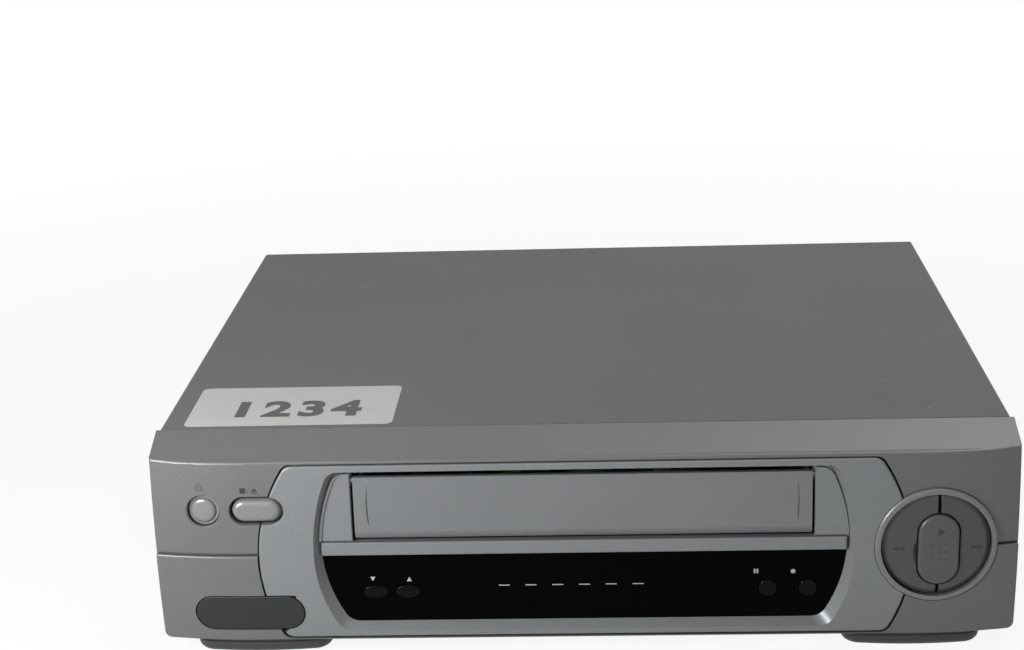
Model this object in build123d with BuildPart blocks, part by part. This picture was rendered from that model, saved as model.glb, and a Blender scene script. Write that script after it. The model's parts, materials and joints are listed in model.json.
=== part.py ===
"""Silver front-loading video cassette recorder.

X runs to the right along the front, Y runs from the front to the back and Z runs up.
The origin is on the surface that the feet stand on, in the middle of the recorder.
"""
from build123d import *
import math
import os

os.makedirs("parts", exist_ok=True)

# Overall sizes, in millimetres
door_half = 95.0
wing_width = 85.0
depth = 315.0
height = 96.0
foot_height = 7.5
slope_rise = 6.5
bezel_depth = 19.3
socket_reach = 9.4
cover_inset = 1.0
mechanism_reach = 143.4

# Walls and clearances
bezel_wall = 2.4
sheet = 1.0
seam = 0.6
edge = 1.3
fit_gap = 0.3
button_gap = 0.45
bearing_gap = 0.05
tiny_gap = 0.1
bezel_corner = 3.0
cut_reach = 40.0

# Shape of the bowed face, and its surfaces proud of it or sunk behind it
face_radius = 359.0
crest_drop = 29.5
end_curve_run = 40.0
end_curve_radius = 200.0
end_curve_sweep = 14.0
ring_proud = 1.6
panel_proud = 0.8
wing_proud = 1.0
recess_floor = 3.5
plate_thickness = 2.0

# Datum lines that the inner parts are measured from
half_width = door_half + wing_width
width = 2 * half_width
front_y = -depth / 2
back_y = depth / 2
face_y = front_y + ring_proud
end_curve_start = half_width - end_curve_run
end_setback = end_curve_radius - math.sqrt(end_curve_radius**2 - end_curve_run**2)
corner_y = face_y + end_setback
seam_y = corner_y + bezel_depth
cover_back = back_y - socket_reach
cover_half = half_width - cover_inset
cover_front = seam_y + seam
inner_half = cover_half - sheet
front_edge_height = height - slope_rise
crest_height = front_edge_height - crest_drop
floor_z = foot_height + sheet
mechanism_y = face_y + mechanism_reach

# Cassette door and the gaps round it
door_height = 27.2
door_drop = 3.7
door_side_gap = 1.1
door_low_gap = 1.3
door_high_gap = 2.4
door_thickness = 2.2
door_front = 2.8
door_sill = 3.0
door_pin_radius = 1.2
door_pin_length = 3.6
door_pivot_drop = 1.5
door_pivot_back = 5.3
groove_inset = 6.0
groove_margin = 5.6
groove_length = 18.0
groove_width = 0.9

# Raised panel in the middle of the face, and the recess in it
panel_top_drop = 2.1
panel_bottom_lift = 1.3
panel_side = 23.2
panel_corner = 5.0
recess_top_side = 9.9
recess_mid_side = 17.4
recess_bottom_side = 8.9
panel_bottom_side = 22.1
panel_top_side = 17.6
recess_lintel = 2.7
recess_lip = 3.4
recess_slope = 5.2
recess_sill = 2.6
recess_corner = 6.0
outline_middle = 40.0
ledge_height = 6.0
ledge_front = 1.5
pillar_front = 2.7
pillar_margin = 0.3
pillar_top_gap = 1.8
window_overlap = 2.9
ledge_inset = 3.0
ridge_width = 1.1
ridge_rise = 0.6

panel_top = front_edge_height - panel_top_drop
panel_bottom = foot_height + panel_bottom_lift
panel_mid = panel_top - outline_middle
recess_top = panel_top - recess_lintel
recess_bottom = panel_bottom + recess_lip
recess_top_half = door_half + recess_top_side
recess_mid_half = door_half + recess_mid_side
recess_bottom_half = door_half + recess_bottom_side
panel_top_half = recess_top_half + panel_top_side
panel_mid_half = recess_mid_half + panel_side
panel_bottom_half = recess_bottom_half + panel_bottom_side
door_top = recess_top - door_drop
door_bottom = door_top - door_height
door_pivot_height = door_top - door_pivot_drop
ledge_top = door_bottom - door_low_gap
ledge_bottom = ledge_top - ledge_height
groove_x = door_half - groove_inset
groove_low = door_bottom + groove_margin
groove_high = groove_low + groove_length

# Step across the outer wings
step_height = ledge_bottom + edge
step_groove = 1.0

# Controls, centres on the face
power_x, power_z = 22.1 - half_width, door_top - 13.2
power_hole = 13.8
power_cap = 11.6
power_sink = 2.0
power_rounding = 2.4
stop_x, stop_z = 44.7 - half_width, door_top - 13.0
stop_hole_w, stop_hole_h = 22.5, 12.0
stop_margin = 0.65
stop_rounding = 3.4
hole_chamfer = 0.5
flap_x, flap_z = 38.6 - half_width, foot_height + 13.5
flap_w, flap_h = 46.4, 15.7
flap_thickness = 2.0
flap_rounding = 0.6
hinge_room_short = 3.1
notch_offset = 14.4
notch_radius = 1.3
dial_shift = 0.5
dial_x, dial_z = (recess_mid_half + half_width) / 2 - dial_shift, step_height + 1.0
dial_radius = 25.4
dial_bore = 22.9
dial_depth = 9.0
half_button_gap = 1.3
half_button_sink = 0.2
half_rounding = 0.35
dial_bevel_drop = 0.7
dial_bevel_width = 1.8
play_x, play_z = dial_x + 1.0, dial_z - 2.0
play_w, play_h = 16.9, 31.5
play_proud = 1.3
dot_pitch = 3.05
dot_radius = 0.45
dot_rise = 0.25
dish_radius = 10.8
dish_depth = 3.0
dish_drop = 1.8
program_x = (24.5 - recess_mid_half, 38.2 - recess_mid_half)
program_z = recess_bottom + 16.3
program_w, program_h = 10.9, 6.2
pause_x, record_x = recess_mid_half - 35.3, recess_mid_half - 18.6
small_button_z = program_z - 0.3
small_button = 7.8
small_button_proud = 0.4
lamp_first_x = -33.4
lamp_pitch = 11.25
lamp_count = 6
lamp_z = program_z + 2.5
lamp_radius = 1.5
lamp_length = 5.0
receiver_size = 7.0

# Front board and its switches
front_board_depth = 18.0
board_thickness = 1.6
switch_body = 6.0
switch_height = 3.5
plunger_radius = 1.6
plunger_height = 0.8
button_travel = 1.2
stem_radius = 1.7

# Feet
foot_inset = 42.3
foot_length = 58.5
foot_depth = 36.0
foot_setback = 1.4
foot_corner = 8.0
foot_bow = 2.6
foot_round = 4.2
foot_groove = 0.4
rear_foot_radius = 14.0
rear_foot_inset = 27.6
foot_x = half_width - foot_inset
rear_foot_y = cover_back - rear_foot_inset

# Rear panel and sockets
rear_panel_inset = 2.2
rear_panel_gap = 0.4
rear_panel_y = cover_back - rear_panel_inset
jack_radius = 4.15
jack_bore = 1.8
jack_pitch = 18.0
jack_count = 4
jack_first_x = 80.0 - half_width
jack_z = foot_height + 24.0
jack_body = 12.0
aerial_x = (28.0 - half_width, 48.0 - half_width)
aerial_z = foot_height + 28.0
aerial_radius = 4.75
aerial_bore = 1.9
collar_thickness = 1.6
collar_margin = 1.8
inlet_x, inlet_z = half_width - 40.0, foot_height + 24.0
inlet_w, inlet_h = 24.0, 14.0
inlet_bore_w, inlet_bore_h = 18.4, 9.4
inlet_body_depth = 18.0
inlet_bore_depth = 12.0
inlet_lip = 1.4
inlet_pin_radius = 1.2
inlet_pin_spacing = 8.6

# Cover and its screws
vent_count = 12
vent_pitch = 6.0
vent_width = 2.4
vent_height = 22.0
vent_z = height - 34.0
vent_first_y = cover_back - 95.6
cover_bend = 1.8
side_screw_y = (seam_y + 34.0, cover_back - 30.0)
side_screw_z = foot_height + 14.0
screw_head_radius = 3.6
side_head_height = 0.9
screw_radius = 1.5
rear_screw_inset = 30.0
rear_screw_z = height - 10.0
rear_head_height = 2.0

# Boards in the base
deck_half = door_half + 17.0
transformer_y = cover_back - 95.6
sink_y = transformer_y - 82.0
board_z = foot_height + 4.0
board_side_gap = 6.0
board_gap = 5.0
main_board_right = deck_half + 2.0
power_board_left = main_board_right + board_gap
board_rear_gap = 5.4
main_board_front = mechanism_y - 100.0
power_board_front = sink_y - 18.0
main_board_left = board_side_gap - inner_half
power_board_right = inner_half - board_side_gap
main_board_back = rear_panel_y - board_rear_gap
tray_flange = 9.0
standoff_radius = 3.0
standoff_x = (18.0 - inner_half, inner_half - 14.0)
standoff_y = (sink_y + 2.0, cover_back - 35.6)

# Power transformer, capacitors and heat sink
supply_x = (power_board_left + power_board_right) / 2
core_w, core_d, core_h = 40.0, 30.0, 34.0
core_limb = 7.0
can_spread = 9.0
can_y = (transformer_y - 54.0, transformer_y + 44.0)
can_radius = 7.0
can_height = 26.0
sink_w, sink_d, sink_h = 40.0, 14.0, 30.0
fin_count = 7
fin_pitch = 6.0
fin_thickness = 1.6

# Tuner can and the block of picture and sound sockets
tuner_w, tuner_d, tuner_h = 46.0, 38.0, 36.0
jack_block_depth = 10.0

# Deck of the tape mechanism
deck_z = foot_height + 14.0
deck_thickness = 1.2
deck_front = mechanism_y - 104.0
deck_back = mechanism_y + 104.0
deck_post_x = deck_half - 6.0
deck_post_y = (mechanism_y - 94.0, mechanism_y + 94.0)
deck_post_radius = 4.0
deck_screw_radius = 3.4
deck_screw_height = 2.0

# Video drum
drum_y = mechanism_y + 60.0
drum_radius = 31.0
drum_tilt = 5.0
drum_seam_z = foot_height + 33.0
lower_drum_height = 10.0
upper_drum_height = 14.0
drum_gap = 0.35
drum_shaft_radius = 3.0
drum_pedestal = 13.0
drum_head_w = 3.0
drum_head_count = 4
rotor_radius = 18.0
rotor_height = 5.0
rotor_hole_count = 3

# Capstan, pinch roller and belt
capstan_x, capstan_y = 70.0, mechanism_y + 34.0
capstan_radius = 2.5
capstan_top = foot_height + 42.0
flywheel_radius = 24.0
flywheel_bottom = foot_height + 7.0
flywheel_height = 3.0
pulley_radius = 8.0
pulley_height = 3.0
bearing_radius = 7.0
bearing_flange = 18.2
bearing_height = 3.2
pinch_pivot_x, pinch_pivot_y = 92.0, mechanism_y + 58.0
pinch_arm_length = 26.0
pinch_rest_angle = 261.9
pinch_radius = 7.0
pinch_bottom = foot_height + 21.0
pinch_height = 17.0
pinch_axle = 1.6
pivot_pin = 2.5
arm_thickness = 1.6
clutch_x, clutch_y = 0.0, mechanism_y - 10.0
clutch_radius = 14.0
belt_thickness = 1.0
belt_height = 2.0

# Reels and idler
reel_x, reel_y = 46.0, mechanism_y - 37.0
reel_shaft_radius = 2.0
reel_disc_radius = 20.0
reel_disc_bottom = foot_height + 17.2
reel_disc_height = 2.4
reel_hub_radius = 8.0
reel_top = foot_height + 36.0
reel_rib_count = 3
idler_radius = 10.0
idler_arm_length = 33.0
idler_arm_width = 6.0

# Tape guides and heads
guide_rest_x, guide_rest_y = 28.0, mechanism_y + 12.0
guide_end_x, guide_end_y = 41.0, mechanism_y + 62.0
guide_base_radius = 4.6
guide_base_height = 5.0
guide_roller_radius = 3.0
guide_top = foot_height + 41.0
guide_peg_radius = 1.6
tension_pivot_x, tension_pivot_y = -86.0, mechanism_y + 42.0
tension_length = 28.0
tension_angle = -58.0
erase_x, erase_y = -60.0, mechanism_y + 47.0
erase_w, erase_d, erase_top = 9.0, 8.0, foot_height + 36.0
control_x, control_y = 54.0, mechanism_y + 47.0
control_w, control_d, control_top = 11.0, 9.0, foot_height + 38.0

# Loading motor and cam gear
cam_x, cam_y = -63.0, mechanism_y + 72.0
cam_radius = 14.0
cam_teeth = 36
cam_tooth = 1.1
cam_bottom = foot_height + 21.0
cam_height = 4.0
worm_radius = 3.6
worm_length = 20.0
worm_groove_pitch = 2.4
worm_groove = 0.6
motor_radius = 9.0
motor_length = 24.0

# Cassette loading parts
holder_inner_half = door_half + 0.5
holder_sheet = 1.0
holder_front = mechanism_y - 106.0
holder_length = 80.0
holder_bottom = door_bottom
holder_height = 29.0
holder_ledge = 11.0
holder_bar = 5.0
holder_rim = 18.0
slide_travel = 45.0
lower_travel = 26.0
holder_peg_radius = 1.5
holder_peg_y = (holder_front + 20.0, holder_front + 60.0)
holder_peg_z = holder_bottom + 14.0
carriage_half = holder_inner_half + 3.1
carriage_front = holder_front + 6.0
carriage_length = 68.0
carriage_bottom = holder_bottom - 16.0
carriage_top = holder_bottom + holder_height + 2.5
bridge_y = holder_front + 62.0
bridge_depth = 12.0
carriage_peg_radius = 2.0
carriage_peg_z = holder_bottom + 22.5
carriage_peg_y = (holder_front + 14.0, holder_front + 66.0)
bracket_half = carriage_half + 2.4
bracket_front = holder_front + 3.0
bracket_back = holder_front + 124.0
bracket_top = holder_bottom + holder_height + 1.0
bracket_foot = 8.0

# Heights and depths that several parts share
holder_top = holder_bottom + holder_height
board_top = board_z + board_thickness
deck_top = deck_z + deck_thickness
front_board_y = face_y + front_board_depth
switch_tip = front_board_y - switch_height - plunger_height
stem_end = switch_tip - button_travel - tiny_gap


def setback(z):
    """How far the face lies behind its crest line at height z."""
    return face_radius - math.sqrt(face_radius**2 - (z - crest_height) ** 2)


def band(proud, behind):
    """Solid that follows the bowed face, from proud ahead of it to behind it."""
    with BuildPart() as shell:
        with BuildLine() as path:
            middle = Line((0, face_y), (end_curve_start, face_y))
            JernArc(middle @ 1, middle % 1, end_curve_radius, end_curve_sweep)
        with BuildSketch(Plane.YZ):
            with Locations((face_y + face_radius, crest_height)):
                Circle(face_radius + proud)
                Circle(face_radius - behind, mode=Mode.SUBTRACT)
            with Locations((face_y, height / 2)):
                Rectangle(4 * cut_reach, height + foot_height, mode=Mode.INTERSECT)
        sweep(path=path.wire())
        mirror(about=Plane.YZ)
    return shell.part


def front_block(inset):
    """The bezel's outer form, or its hollow when it is inset by the wall."""
    with BuildPart() as block:
        add(band(-inset, cut_reach))
        with BuildSketch(Plane.YZ):
            with BuildLine():
                Polyline(
                    (front_y - inset, foot_height + inset),
                    (seam_y + inset, foot_height + inset),
                    (seam_y + inset, height - inset),
                    (corner_y, front_edge_height - inset),
                    (front_y - inset, front_edge_height - inset),
                    close=True,
                )
            make_face()
        extrude(amount=half_width - inset, both=True, mode=Mode.INTERSECT)
    return block.part


def bowed_outline(top_half, mid_half, bottom_half, top, mid, bottom, corner):
    """Outline with a straight top and bottom and bowed sides."""
    with BuildSketch() as outline:
        with BuildLine():
            Line((-top_half, top), (top_half, top))
            ThreePointArc((top_half, top), (mid_half, mid), (bottom_half, bottom))
            Line((bottom_half, bottom), (-bottom_half, bottom))
            ThreePointArc((-bottom_half, bottom), (-mid_half, mid), (-top_half, top))
        make_face()
        fillet(outline.vertices(), corner)
    return outline.sketch


def panel_outline(margin):
    """Outline of the raised panel, grown by a margin."""
    return bowed_outline(
        panel_top_half + margin,
        panel_mid_half + margin,
        panel_bottom_half + margin,
        panel_top + margin,
        panel_mid,
        panel_bottom - margin,
        panel_corner,
    )


def recess_outline(inward, sill):
    """Outline of the recess, drawn in at its sides and its sill."""
    return bowed_outline(
        recess_top_half - inward,
        recess_mid_half - inward,
        recess_bottom_half - inward,
        recess_top,
        panel_mid,
        recess_bottom + sill,
        recess_corner,
    )


def recess_space(clearance):
    """The air inside the recess, which narrows towards its floor."""
    sill_setback = setback(recess_bottom)
    floor_y = recess_floor + sill_setback
    mouth_sill = -recess_sill * sill_setback / recess_floor
    with BuildPart() as space:
        with BuildSketch(Plane.XZ.offset(-face_y)):
            add(recess_outline(clearance, mouth_sill + clearance))
        with BuildSketch(Plane.XZ.offset(-face_y - floor_y)):
            add(recess_outline(clearance + recess_slope, recess_sill + clearance))
        loft(ruled=True)
        with BuildSketch(Plane.XZ.offset(-face_y)):
            add(recess_outline(clearance, mouth_sill + clearance))
        extrude(amount=2 * ring_proud)
    return space.part


def pill(w, h):
    """Rounded bar outline, a circle when it is as high as it is wide."""
    with BuildSketch() as outline:
        if w > h:
            SlotOverall(w, h)
        elif h > w:
            SlotOverall(h, w, rotation=90)
        else:
            Circle(w / 2)
    return outline.sketch


def front_edges(part, reach):
    """Edges of a part that lie within reach of its foremost point."""
    limit = part.bounding_box().min.Y + reach
    return part.edges().filter_by(lambda item: item.bounding_box().max.Y < limit)


def face_at(x, z):
    """Where the bowed face lies at a place on it."""
    past_bend = max(0, abs(x) - end_curve_start)
    return face_y + setback(z) + end_curve_radius - math.sqrt(end_curve_radius**2 - past_bend**2)


def rim_edges(part, x, z, reach_x, reach_z):
    """Edges round the front of a hole, chosen by its centre and its reach."""
    near = part.edges().filter_by(lambda item: abs(item.center().X - x) < reach_x)
    near = near.filter_by(lambda item: abs(item.center().Z - z) < reach_z)
    return near.filter_by(lambda item: item.center().Y < face_at(item.center().X, item.center().Z) + edge / 2)


def key_stem(x, z, skirt):
    """Stem that reaches from the back of a key cap to its switch."""
    stem_start = face_y + setback(z) + skirt - tiny_gap
    with BuildPart() as stem:
        with BuildSketch(Plane.XZ.offset(-stem_end)):
            with Locations((x, z)):
                Circle(stem_radius)
        extrude(amount=stem_end - stem_start)
    return stem.part


def push_button(x, z, outline, proud, skirt, rounding):
    """A key cap that follows the face, with a stem that reaches its switch."""
    with BuildPart() as key:
        add(band(proud, skirt))
        with BuildSketch(Plane.XZ):
            with Locations((x, z)):
                add(outline)
        extrude(amount=depth, mode=Mode.INTERSECT)
        fillet(front_edges(key.part, proud + skirt), rounding)
        add(key_stem(x, z, skirt))
    return key.part


def lying_box(x0, x1, y0, y1, z0, z1):
    """Block between two corners."""
    with BuildPart() as block:
        with BuildSketch(Plane.XY.offset(z0)):
            with Locations(((x0 + x1) / 2, (y0 + y1) / 2)):
                Rectangle(x1 - x0, y1 - y0)
        extrude(amount=z1 - z0)
    return block.part


def post(x, y, radius, z0, z1):
    """Upright cylinder between two heights."""
    with BuildPart() as pin:
        with BuildSketch(Plane.XY.offset(z0)):
            with Locations((x, y)):
                Circle(radius)
        extrude(amount=z1 - z0)
    return pin.part


def save(part, name):
    """Write one finished piece under its own name."""
    part.label = name
    export_step(part, f"parts/{name}.step")


# Front bezel: a hollow shell with a proud lower wing on each side
with BuildPart() as lower_wing:
    add(band(wing_proud, edge))
    with BuildSketch(Plane.XZ) as wing_outline:
        with Locations((0, (foot_height + step_height) / 2)):
            Rectangle(width, step_height - foot_height)
        fillet(wing_outline.vertices().group_by(Axis.Y)[0], bezel_corner)
    extrude(amount=depth, mode=Mode.INTERSECT)
    wing_front = setback(foot_height) + end_setback + wing_proud
    fillet(front_edges(lower_wing.part, wing_front), wing_proud - tiny_gap)

with BuildPart() as wing_groove:
    add(band(ring_proud, edge))
    with BuildSketch(Plane.XZ):
        with Locations((0, step_height + step_groove / 2)):
            Rectangle(width, step_groove)
    extrude(amount=depth, mode=Mode.INTERSECT)

with BuildPart() as front_bezel:
    add(front_block(0))
    fillet(front_bezel.edges().filter_by(Axis.Y).group_by(Axis.Z)[0], bezel_corner)
    fillet(front_edges(front_bezel.part, setback(foot_height) + end_setback + edge), edge)
    add(lower_wing.part)
    add(front_block(bezel_wall), mode=Mode.SUBTRACT)
    add(wing_groove.part, mode=Mode.SUBTRACT)
    with BuildSketch(Plane.XZ):
        add(panel_outline(seam))
        with Locations((power_x, power_z)):
            Circle(power_hole / 2)
        with Locations((stop_x, stop_z)):
            SlotOverall(stop_hole_w, stop_hole_h)
        with Locations((flap_x, flap_z)):
            SlotOverall(flap_w + 2 * button_gap, flap_h + 2 * button_gap)
        with Locations((dial_x, dial_z)):
            Circle(dial_radius + tiny_gap)
    extrude(amount=depth, mode=Mode.SUBTRACT)
    chamfer(rim_edges(front_bezel.part, power_x, power_z, power_hole, power_hole), hole_chamfer)
    stop_rim = (stop_x, stop_z, stop_hole_w / 2 + tiny_gap, stop_hole_h / 2 + tiny_gap)
    chamfer(rim_edges(front_bezel.part, *stop_rim), hole_chamfer)
save(front_bezel.part, "front_bezel")

# Raised panel with the sloping walls of its recess
with BuildPart() as centre_panel:
    add(band(panel_proud, recess_floor - tiny_gap))
    with BuildSketch(Plane.XZ):
        add(panel_outline(0))
    extrude(amount=depth, mode=Mode.INTERSECT)
    fillet(front_edges(centre_panel.part, setback(panel_bottom) + panel_proud), panel_proud)
    add(recess_space(0), mode=Mode.SUBTRACT)
    with BuildSketch(Plane.XZ):
        with Locations((stop_x, stop_z)):
            SlotOverall(stop_hole_w, stop_hole_h)
        with Locations((flap_x, flap_z)):
            SlotOverall(flap_w + 2 * button_gap, flap_h + 2 * button_gap)
        with Locations((flap_x + notch_offset, flap_z - flap_h / 2 - button_gap)):
            Circle(notch_radius)
        with Locations((dial_x, dial_z)):
            Circle(dial_radius + tiny_gap)
    extrude(amount=depth, mode=Mode.SUBTRACT)
    chamfer(rim_edges(centre_panel.part, *stop_rim), hole_chamfer)
    hinge_room = flap_w / 2 - hinge_room_short
    hinge_z = flap_z + flap_h / 2 - flap_rounding
    hinge_y = face_y + setback(hinge_z) - wing_proud + flap_rounding
    with Locations((flap_x + hinge_room / 2, hinge_y, hinge_z)):
        Cylinder(flap_rounding + button_gap, hinge_room, rotation=(0, 90, 0), mode=Mode.SUBTRACT)
save(centre_panel.part, "centre_panel")

# Recess frame: the floor behind the panel, with its pillars, ledge and hinge ears
opening_half = door_half + door_side_gap
opening_top = door_top + door_high_gap
window_top = ledge_bottom - tiny_gap
ear_inner = door_half + 2 * fit_gap
ear_width = 5.0
ear_depth = 5.0
pivot_y = face_y + door_pivot_back

with BuildPart() as window_shape:
    with BuildSketch(Plane.XZ):
        add(recess_outline(recess_slope - window_overlap, recess_sill - window_overlap))
        with Locations((0, window_top / 2)):
            Rectangle(width, window_top, mode=Mode.INTERSECT)
    extrude(amount=depth)

with BuildPart() as raised_trim:
    add(band(-ledge_front, recess_floor + plate_thickness))
    with BuildSketch(Plane.XZ):
        add(recess_outline(ledge_inset, recess_sill))
        with Locations((0, (ledge_bottom + ledge_top) / 2)):
            Rectangle(width, ledge_top - ledge_bottom, mode=Mode.INTERSECT)
    extrude(amount=depth, mode=Mode.INTERSECT)
    fillet(front_edges(raised_trim.part, edge), edge / 2)


def pillar_block(inward, front):
    """Raised pads beside the door, drawn in from the recess walls."""
    with BuildPart() as pads:
        with Locations((0, 0, -pillar_top_gap)):
            add(recess_space(inward))
        with BuildSketch(Plane.XZ):
            with Locations((0, (ledge_top + recess_top) / 2 + fit_gap)):
                Rectangle(width, recess_top - ledge_top - fit_gap)
                Rectangle(2 * (opening_half + fit_gap), height, mode=Mode.SUBTRACT)
        extrude(amount=depth, mode=Mode.INTERSECT)
        add(band(-front, recess_floor + plate_thickness), mode=Mode.INTERSECT)
    return pads.part


with BuildPart() as pillar_pads:
    add(pillar_block(pillar_margin, pillar_front - ridge_rise))
    add(pillar_block(pillar_margin + ridge_width, 0), mode=Mode.SUBTRACT)
    add(pillar_block(pillar_margin, pillar_front))

with BuildPart() as recess_frame:
    add(band(-recess_floor, recess_floor + plate_thickness))
    with BuildSketch(Plane.XZ):
        add(panel_outline(-panel_proud))
        with Locations((0, (ledge_top + opening_top) / 2)):
            Rectangle(2 * opening_half, opening_top - ledge_top, mode=Mode.SUBTRACT)
        with Locations((stop_x, stop_z)):
            SlotOverall(stop_hole_w, stop_hole_h, mode=Mode.SUBTRACT)
        with Locations((flap_x, flap_z)):
            SlotOverall(flap_w + 2 * button_gap, flap_h + 2 * button_gap, mode=Mode.SUBTRACT)
        with Locations((dial_x, dial_z)):
            Circle(dial_radius + tiny_gap, mode=Mode.SUBTRACT)
    extrude(amount=depth, mode=Mode.INTERSECT)
    add(window_shape.part, mode=Mode.SUBTRACT)
    add(raised_trim.part)
    add(pillar_pads.part)
    for side in (-1, 1):
        ear_x = side * (ear_inner + ear_width / 2)
        add(
            lying_box(
                ear_x - ear_width / 2,
                ear_x + ear_width / 2,
                face_y + recess_floor + plate_thickness,
                pivot_y + ear_depth,
                door_pivot_height - ear_width / 2,
                opening_top - fit_gap,
            )
        )
    with BuildSketch(Plane.YZ):
        with Locations((pivot_y, door_pivot_height)):
            Circle(door_pin_radius + bearing_gap)
    extrude(amount=door_half + door_pin_length + fit_gap, both=True, mode=Mode.SUBTRACT)
save(recess_frame.part, "recess_frame")

# Cassette door, which hangs on two stub pins and swings inwards
with BuildPart() as cassette_door:
    add(band(-door_front, door_front + door_thickness))
    with BuildSketch(Plane.XZ):
        with Locations((0, (door_bottom + door_top) / 2)):
            Rectangle(2 * door_half, door_top - door_bottom)
    extrude(amount=depth, mode=Mode.INTERSECT)
    sill_edges = cassette_door.edges().filter_by(Axis.X).group_by(Axis.Z)[0].group_by(Axis.Y)[0]
    chamfer(sill_edges, door_sill / 3, door_sill)
    for side in (-1, 1):
        with BuildSketch(Plane.XZ.offset(-face_y - door_front - edge / 2)):
            with BuildLine():
                ThreePointArc(
                    (side * groove_x, groove_low),
                    (side * (groove_x + groove_width), (groove_low + groove_high) / 2),
                    (side * groove_x, groove_high),
                )
                Line((side * groove_x, groove_high), (side * groove_x, groove_low))
            make_face()
        extrude(amount=cut_reach, mode=Mode.SUBTRACT)
    with BuildSketch(Plane.YZ.offset(-door_half - door_pin_length)):
        with Locations((pivot_y, door_pivot_height)):
            Circle(door_pin_radius)
    extrude(amount=2 * (door_half + door_pin_length))
save(cassette_door.part, "cassette_door")

# Glossy window over the lamps, with the holes for its four keys
small_keys = [(x, program_z, program_w, program_h) for x in program_x]
small_keys += [(x, small_button_z, small_button, small_button) for x in (pause_x, record_x)]
with BuildPart() as display_window:
    add(band(-recess_floor, recess_floor + plate_thickness))
    with BuildSketch(Plane.XZ):
        add(recess_outline(recess_slope - window_overlap + tiny_gap, recess_sill - window_overlap + tiny_gap))
        with Locations((0, window_top / 2 - tiny_gap)):
            Rectangle(width, window_top, mode=Mode.INTERSECT)
        for key_x, key_z, key_w, key_h in small_keys:
            with Locations((key_x, key_z)):
                Ellipse(key_w / 2 + fit_gap, key_h / 2 + fit_gap, mode=Mode.SUBTRACT)
    extrude(amount=depth, mode=Mode.INTERSECT)
save(display_window.part, "display_window")

# Power, stop and small round keys
key_skirt = 4 * edge
power_base = power_hole - 2 * button_gap
with BuildPart() as power_flange:
    add(band(-power_sink, key_skirt))
    with BuildSketch(Plane.XZ):
        with Locations((power_x, power_z)):
            Circle(power_base / 2)
    extrude(amount=depth, mode=Mode.INTERSECT)

with BuildPart() as power_button:
    add(push_button(power_x, power_z, pill(power_cap, power_cap), -edge / 2, key_skirt, power_rounding))
    add(power_flange.part)
save(power_button.part, "power_button")
stop_outline = pill(stop_hole_w - 2 * stop_margin, stop_hole_h - 2 * stop_margin)
save(push_button(stop_x, stop_z, stop_outline, edge / 2, key_skirt, stop_rounding), "stop_eject_button")
small_names = ("program_down_button", "program_up_button", "pause_button", "record_button")
small_skirt = recess_floor + plate_thickness
for (key_x, key_z, key_w, key_h), key_name in zip(small_keys, small_names):
    with BuildSketch() as key_outline:
        Ellipse(key_w / 2, key_h / 2)
    key_proud = small_button_proud - recess_floor
    save(push_button(key_x, key_z, key_outline.sketch, key_proud, small_skirt, edge / 2), key_name)

# Dial ring with a floor that guides the stems of its keys
switch_spots = [(power_x, power_z), (stop_x, stop_z), (play_x, play_z)]
switch_spots += [(dial_x - side * (dial_radius + play_w) / 3, dial_z) for side in (1, -1)]
switch_spots += [(key_x, key_z) for key_x, key_z, key_w, key_h in small_keys]

with BuildPart() as dial_well:
    add(band(2 * ring_proud, dial_depth - plate_thickness))
    with BuildSketch(Plane.XZ):
        with Locations((dial_x, dial_z)):
            Circle(dial_bore)
    extrude(amount=depth, mode=Mode.INTERSECT)

with BuildPart() as dial_ring:
    add(band(ring_proud, dial_depth))
    with BuildSketch(Plane.XZ):
        with Locations((dial_x, dial_z)):
            Circle(dial_radius)
    extrude(amount=depth, mode=Mode.INTERSECT)
    fillet(front_edges(dial_ring.part, 3 * ring_proud), edge)
    add(dial_well.part, mode=Mode.SUBTRACT)
    with BuildSketch(Plane.XZ):
        with Locations(*switch_spots[2:5]):
            Circle(stem_radius + fit_gap)
    extrude(amount=depth, mode=Mode.SUBTRACT)
save(dial_ring.part, "dial_ring")

# Rewind and forward keys, two half moons with a shared finger dish round the play key
half_skirt = dial_depth - plate_thickness - button_travel - fit_gap
dish_ball = (dish_radius**2 + dish_depth**2) / (2 * dish_depth)


def half_moon(side):
    """Outline of the half moon on one side of the dial."""
    with BuildSketch() as outline:
        with Locations((dial_x, dial_z)):
            Circle(dial_bore - button_gap)
        with Locations((play_x, play_z)):
            add(pill(play_w + 2 * button_gap, play_h + 2 * button_gap), mode=Mode.SUBTRACT)
        with Locations((play_x + side * (half_button_gap / 2 + dial_radius), dial_z)):
            Rectangle(2 * dial_radius, 3 * dial_radius, mode=Mode.INTERSECT)
    return outline.sketch


def on_dial_rim(item):
    """Whether an edge runs along the outer rim of the half moons."""
    reaches = [math.hypot((item @ part).X - dial_x, (item @ part).Z - dial_z) for part in (0, 0.5, 1)]
    return all(abs(reach - dial_bore + button_gap) < tiny_gap for reach in reaches)


for side, key_name in ((-1, "rewind_button"), (1, "forward_button")):
    spot_x = dial_x + side * (dial_radius + play_w) / 3
    with BuildPart() as half_key:
        add(band(half_button_sink, half_skirt))
        with BuildSketch(Plane.XZ):
            add(half_moon(side))
        extrude(amount=depth, mode=Mode.INTERSECT)
        front = front_edges(half_key.part, half_button_sink + half_skirt)
        chamfer(front.filter_by(on_dial_rim), dial_bevel_drop, dial_bevel_width)
        fillet(front_edges(half_key.part, half_button_sink + half_skirt), half_rounding)
        with Locations((play_x, face_y + dish_depth - dish_ball, play_z - dish_drop)):
            Sphere(dish_ball, mode=Mode.SUBTRACT)
        add(key_stem(spot_x, dial_z, half_skirt))
    save(half_key.part, key_name)

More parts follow.
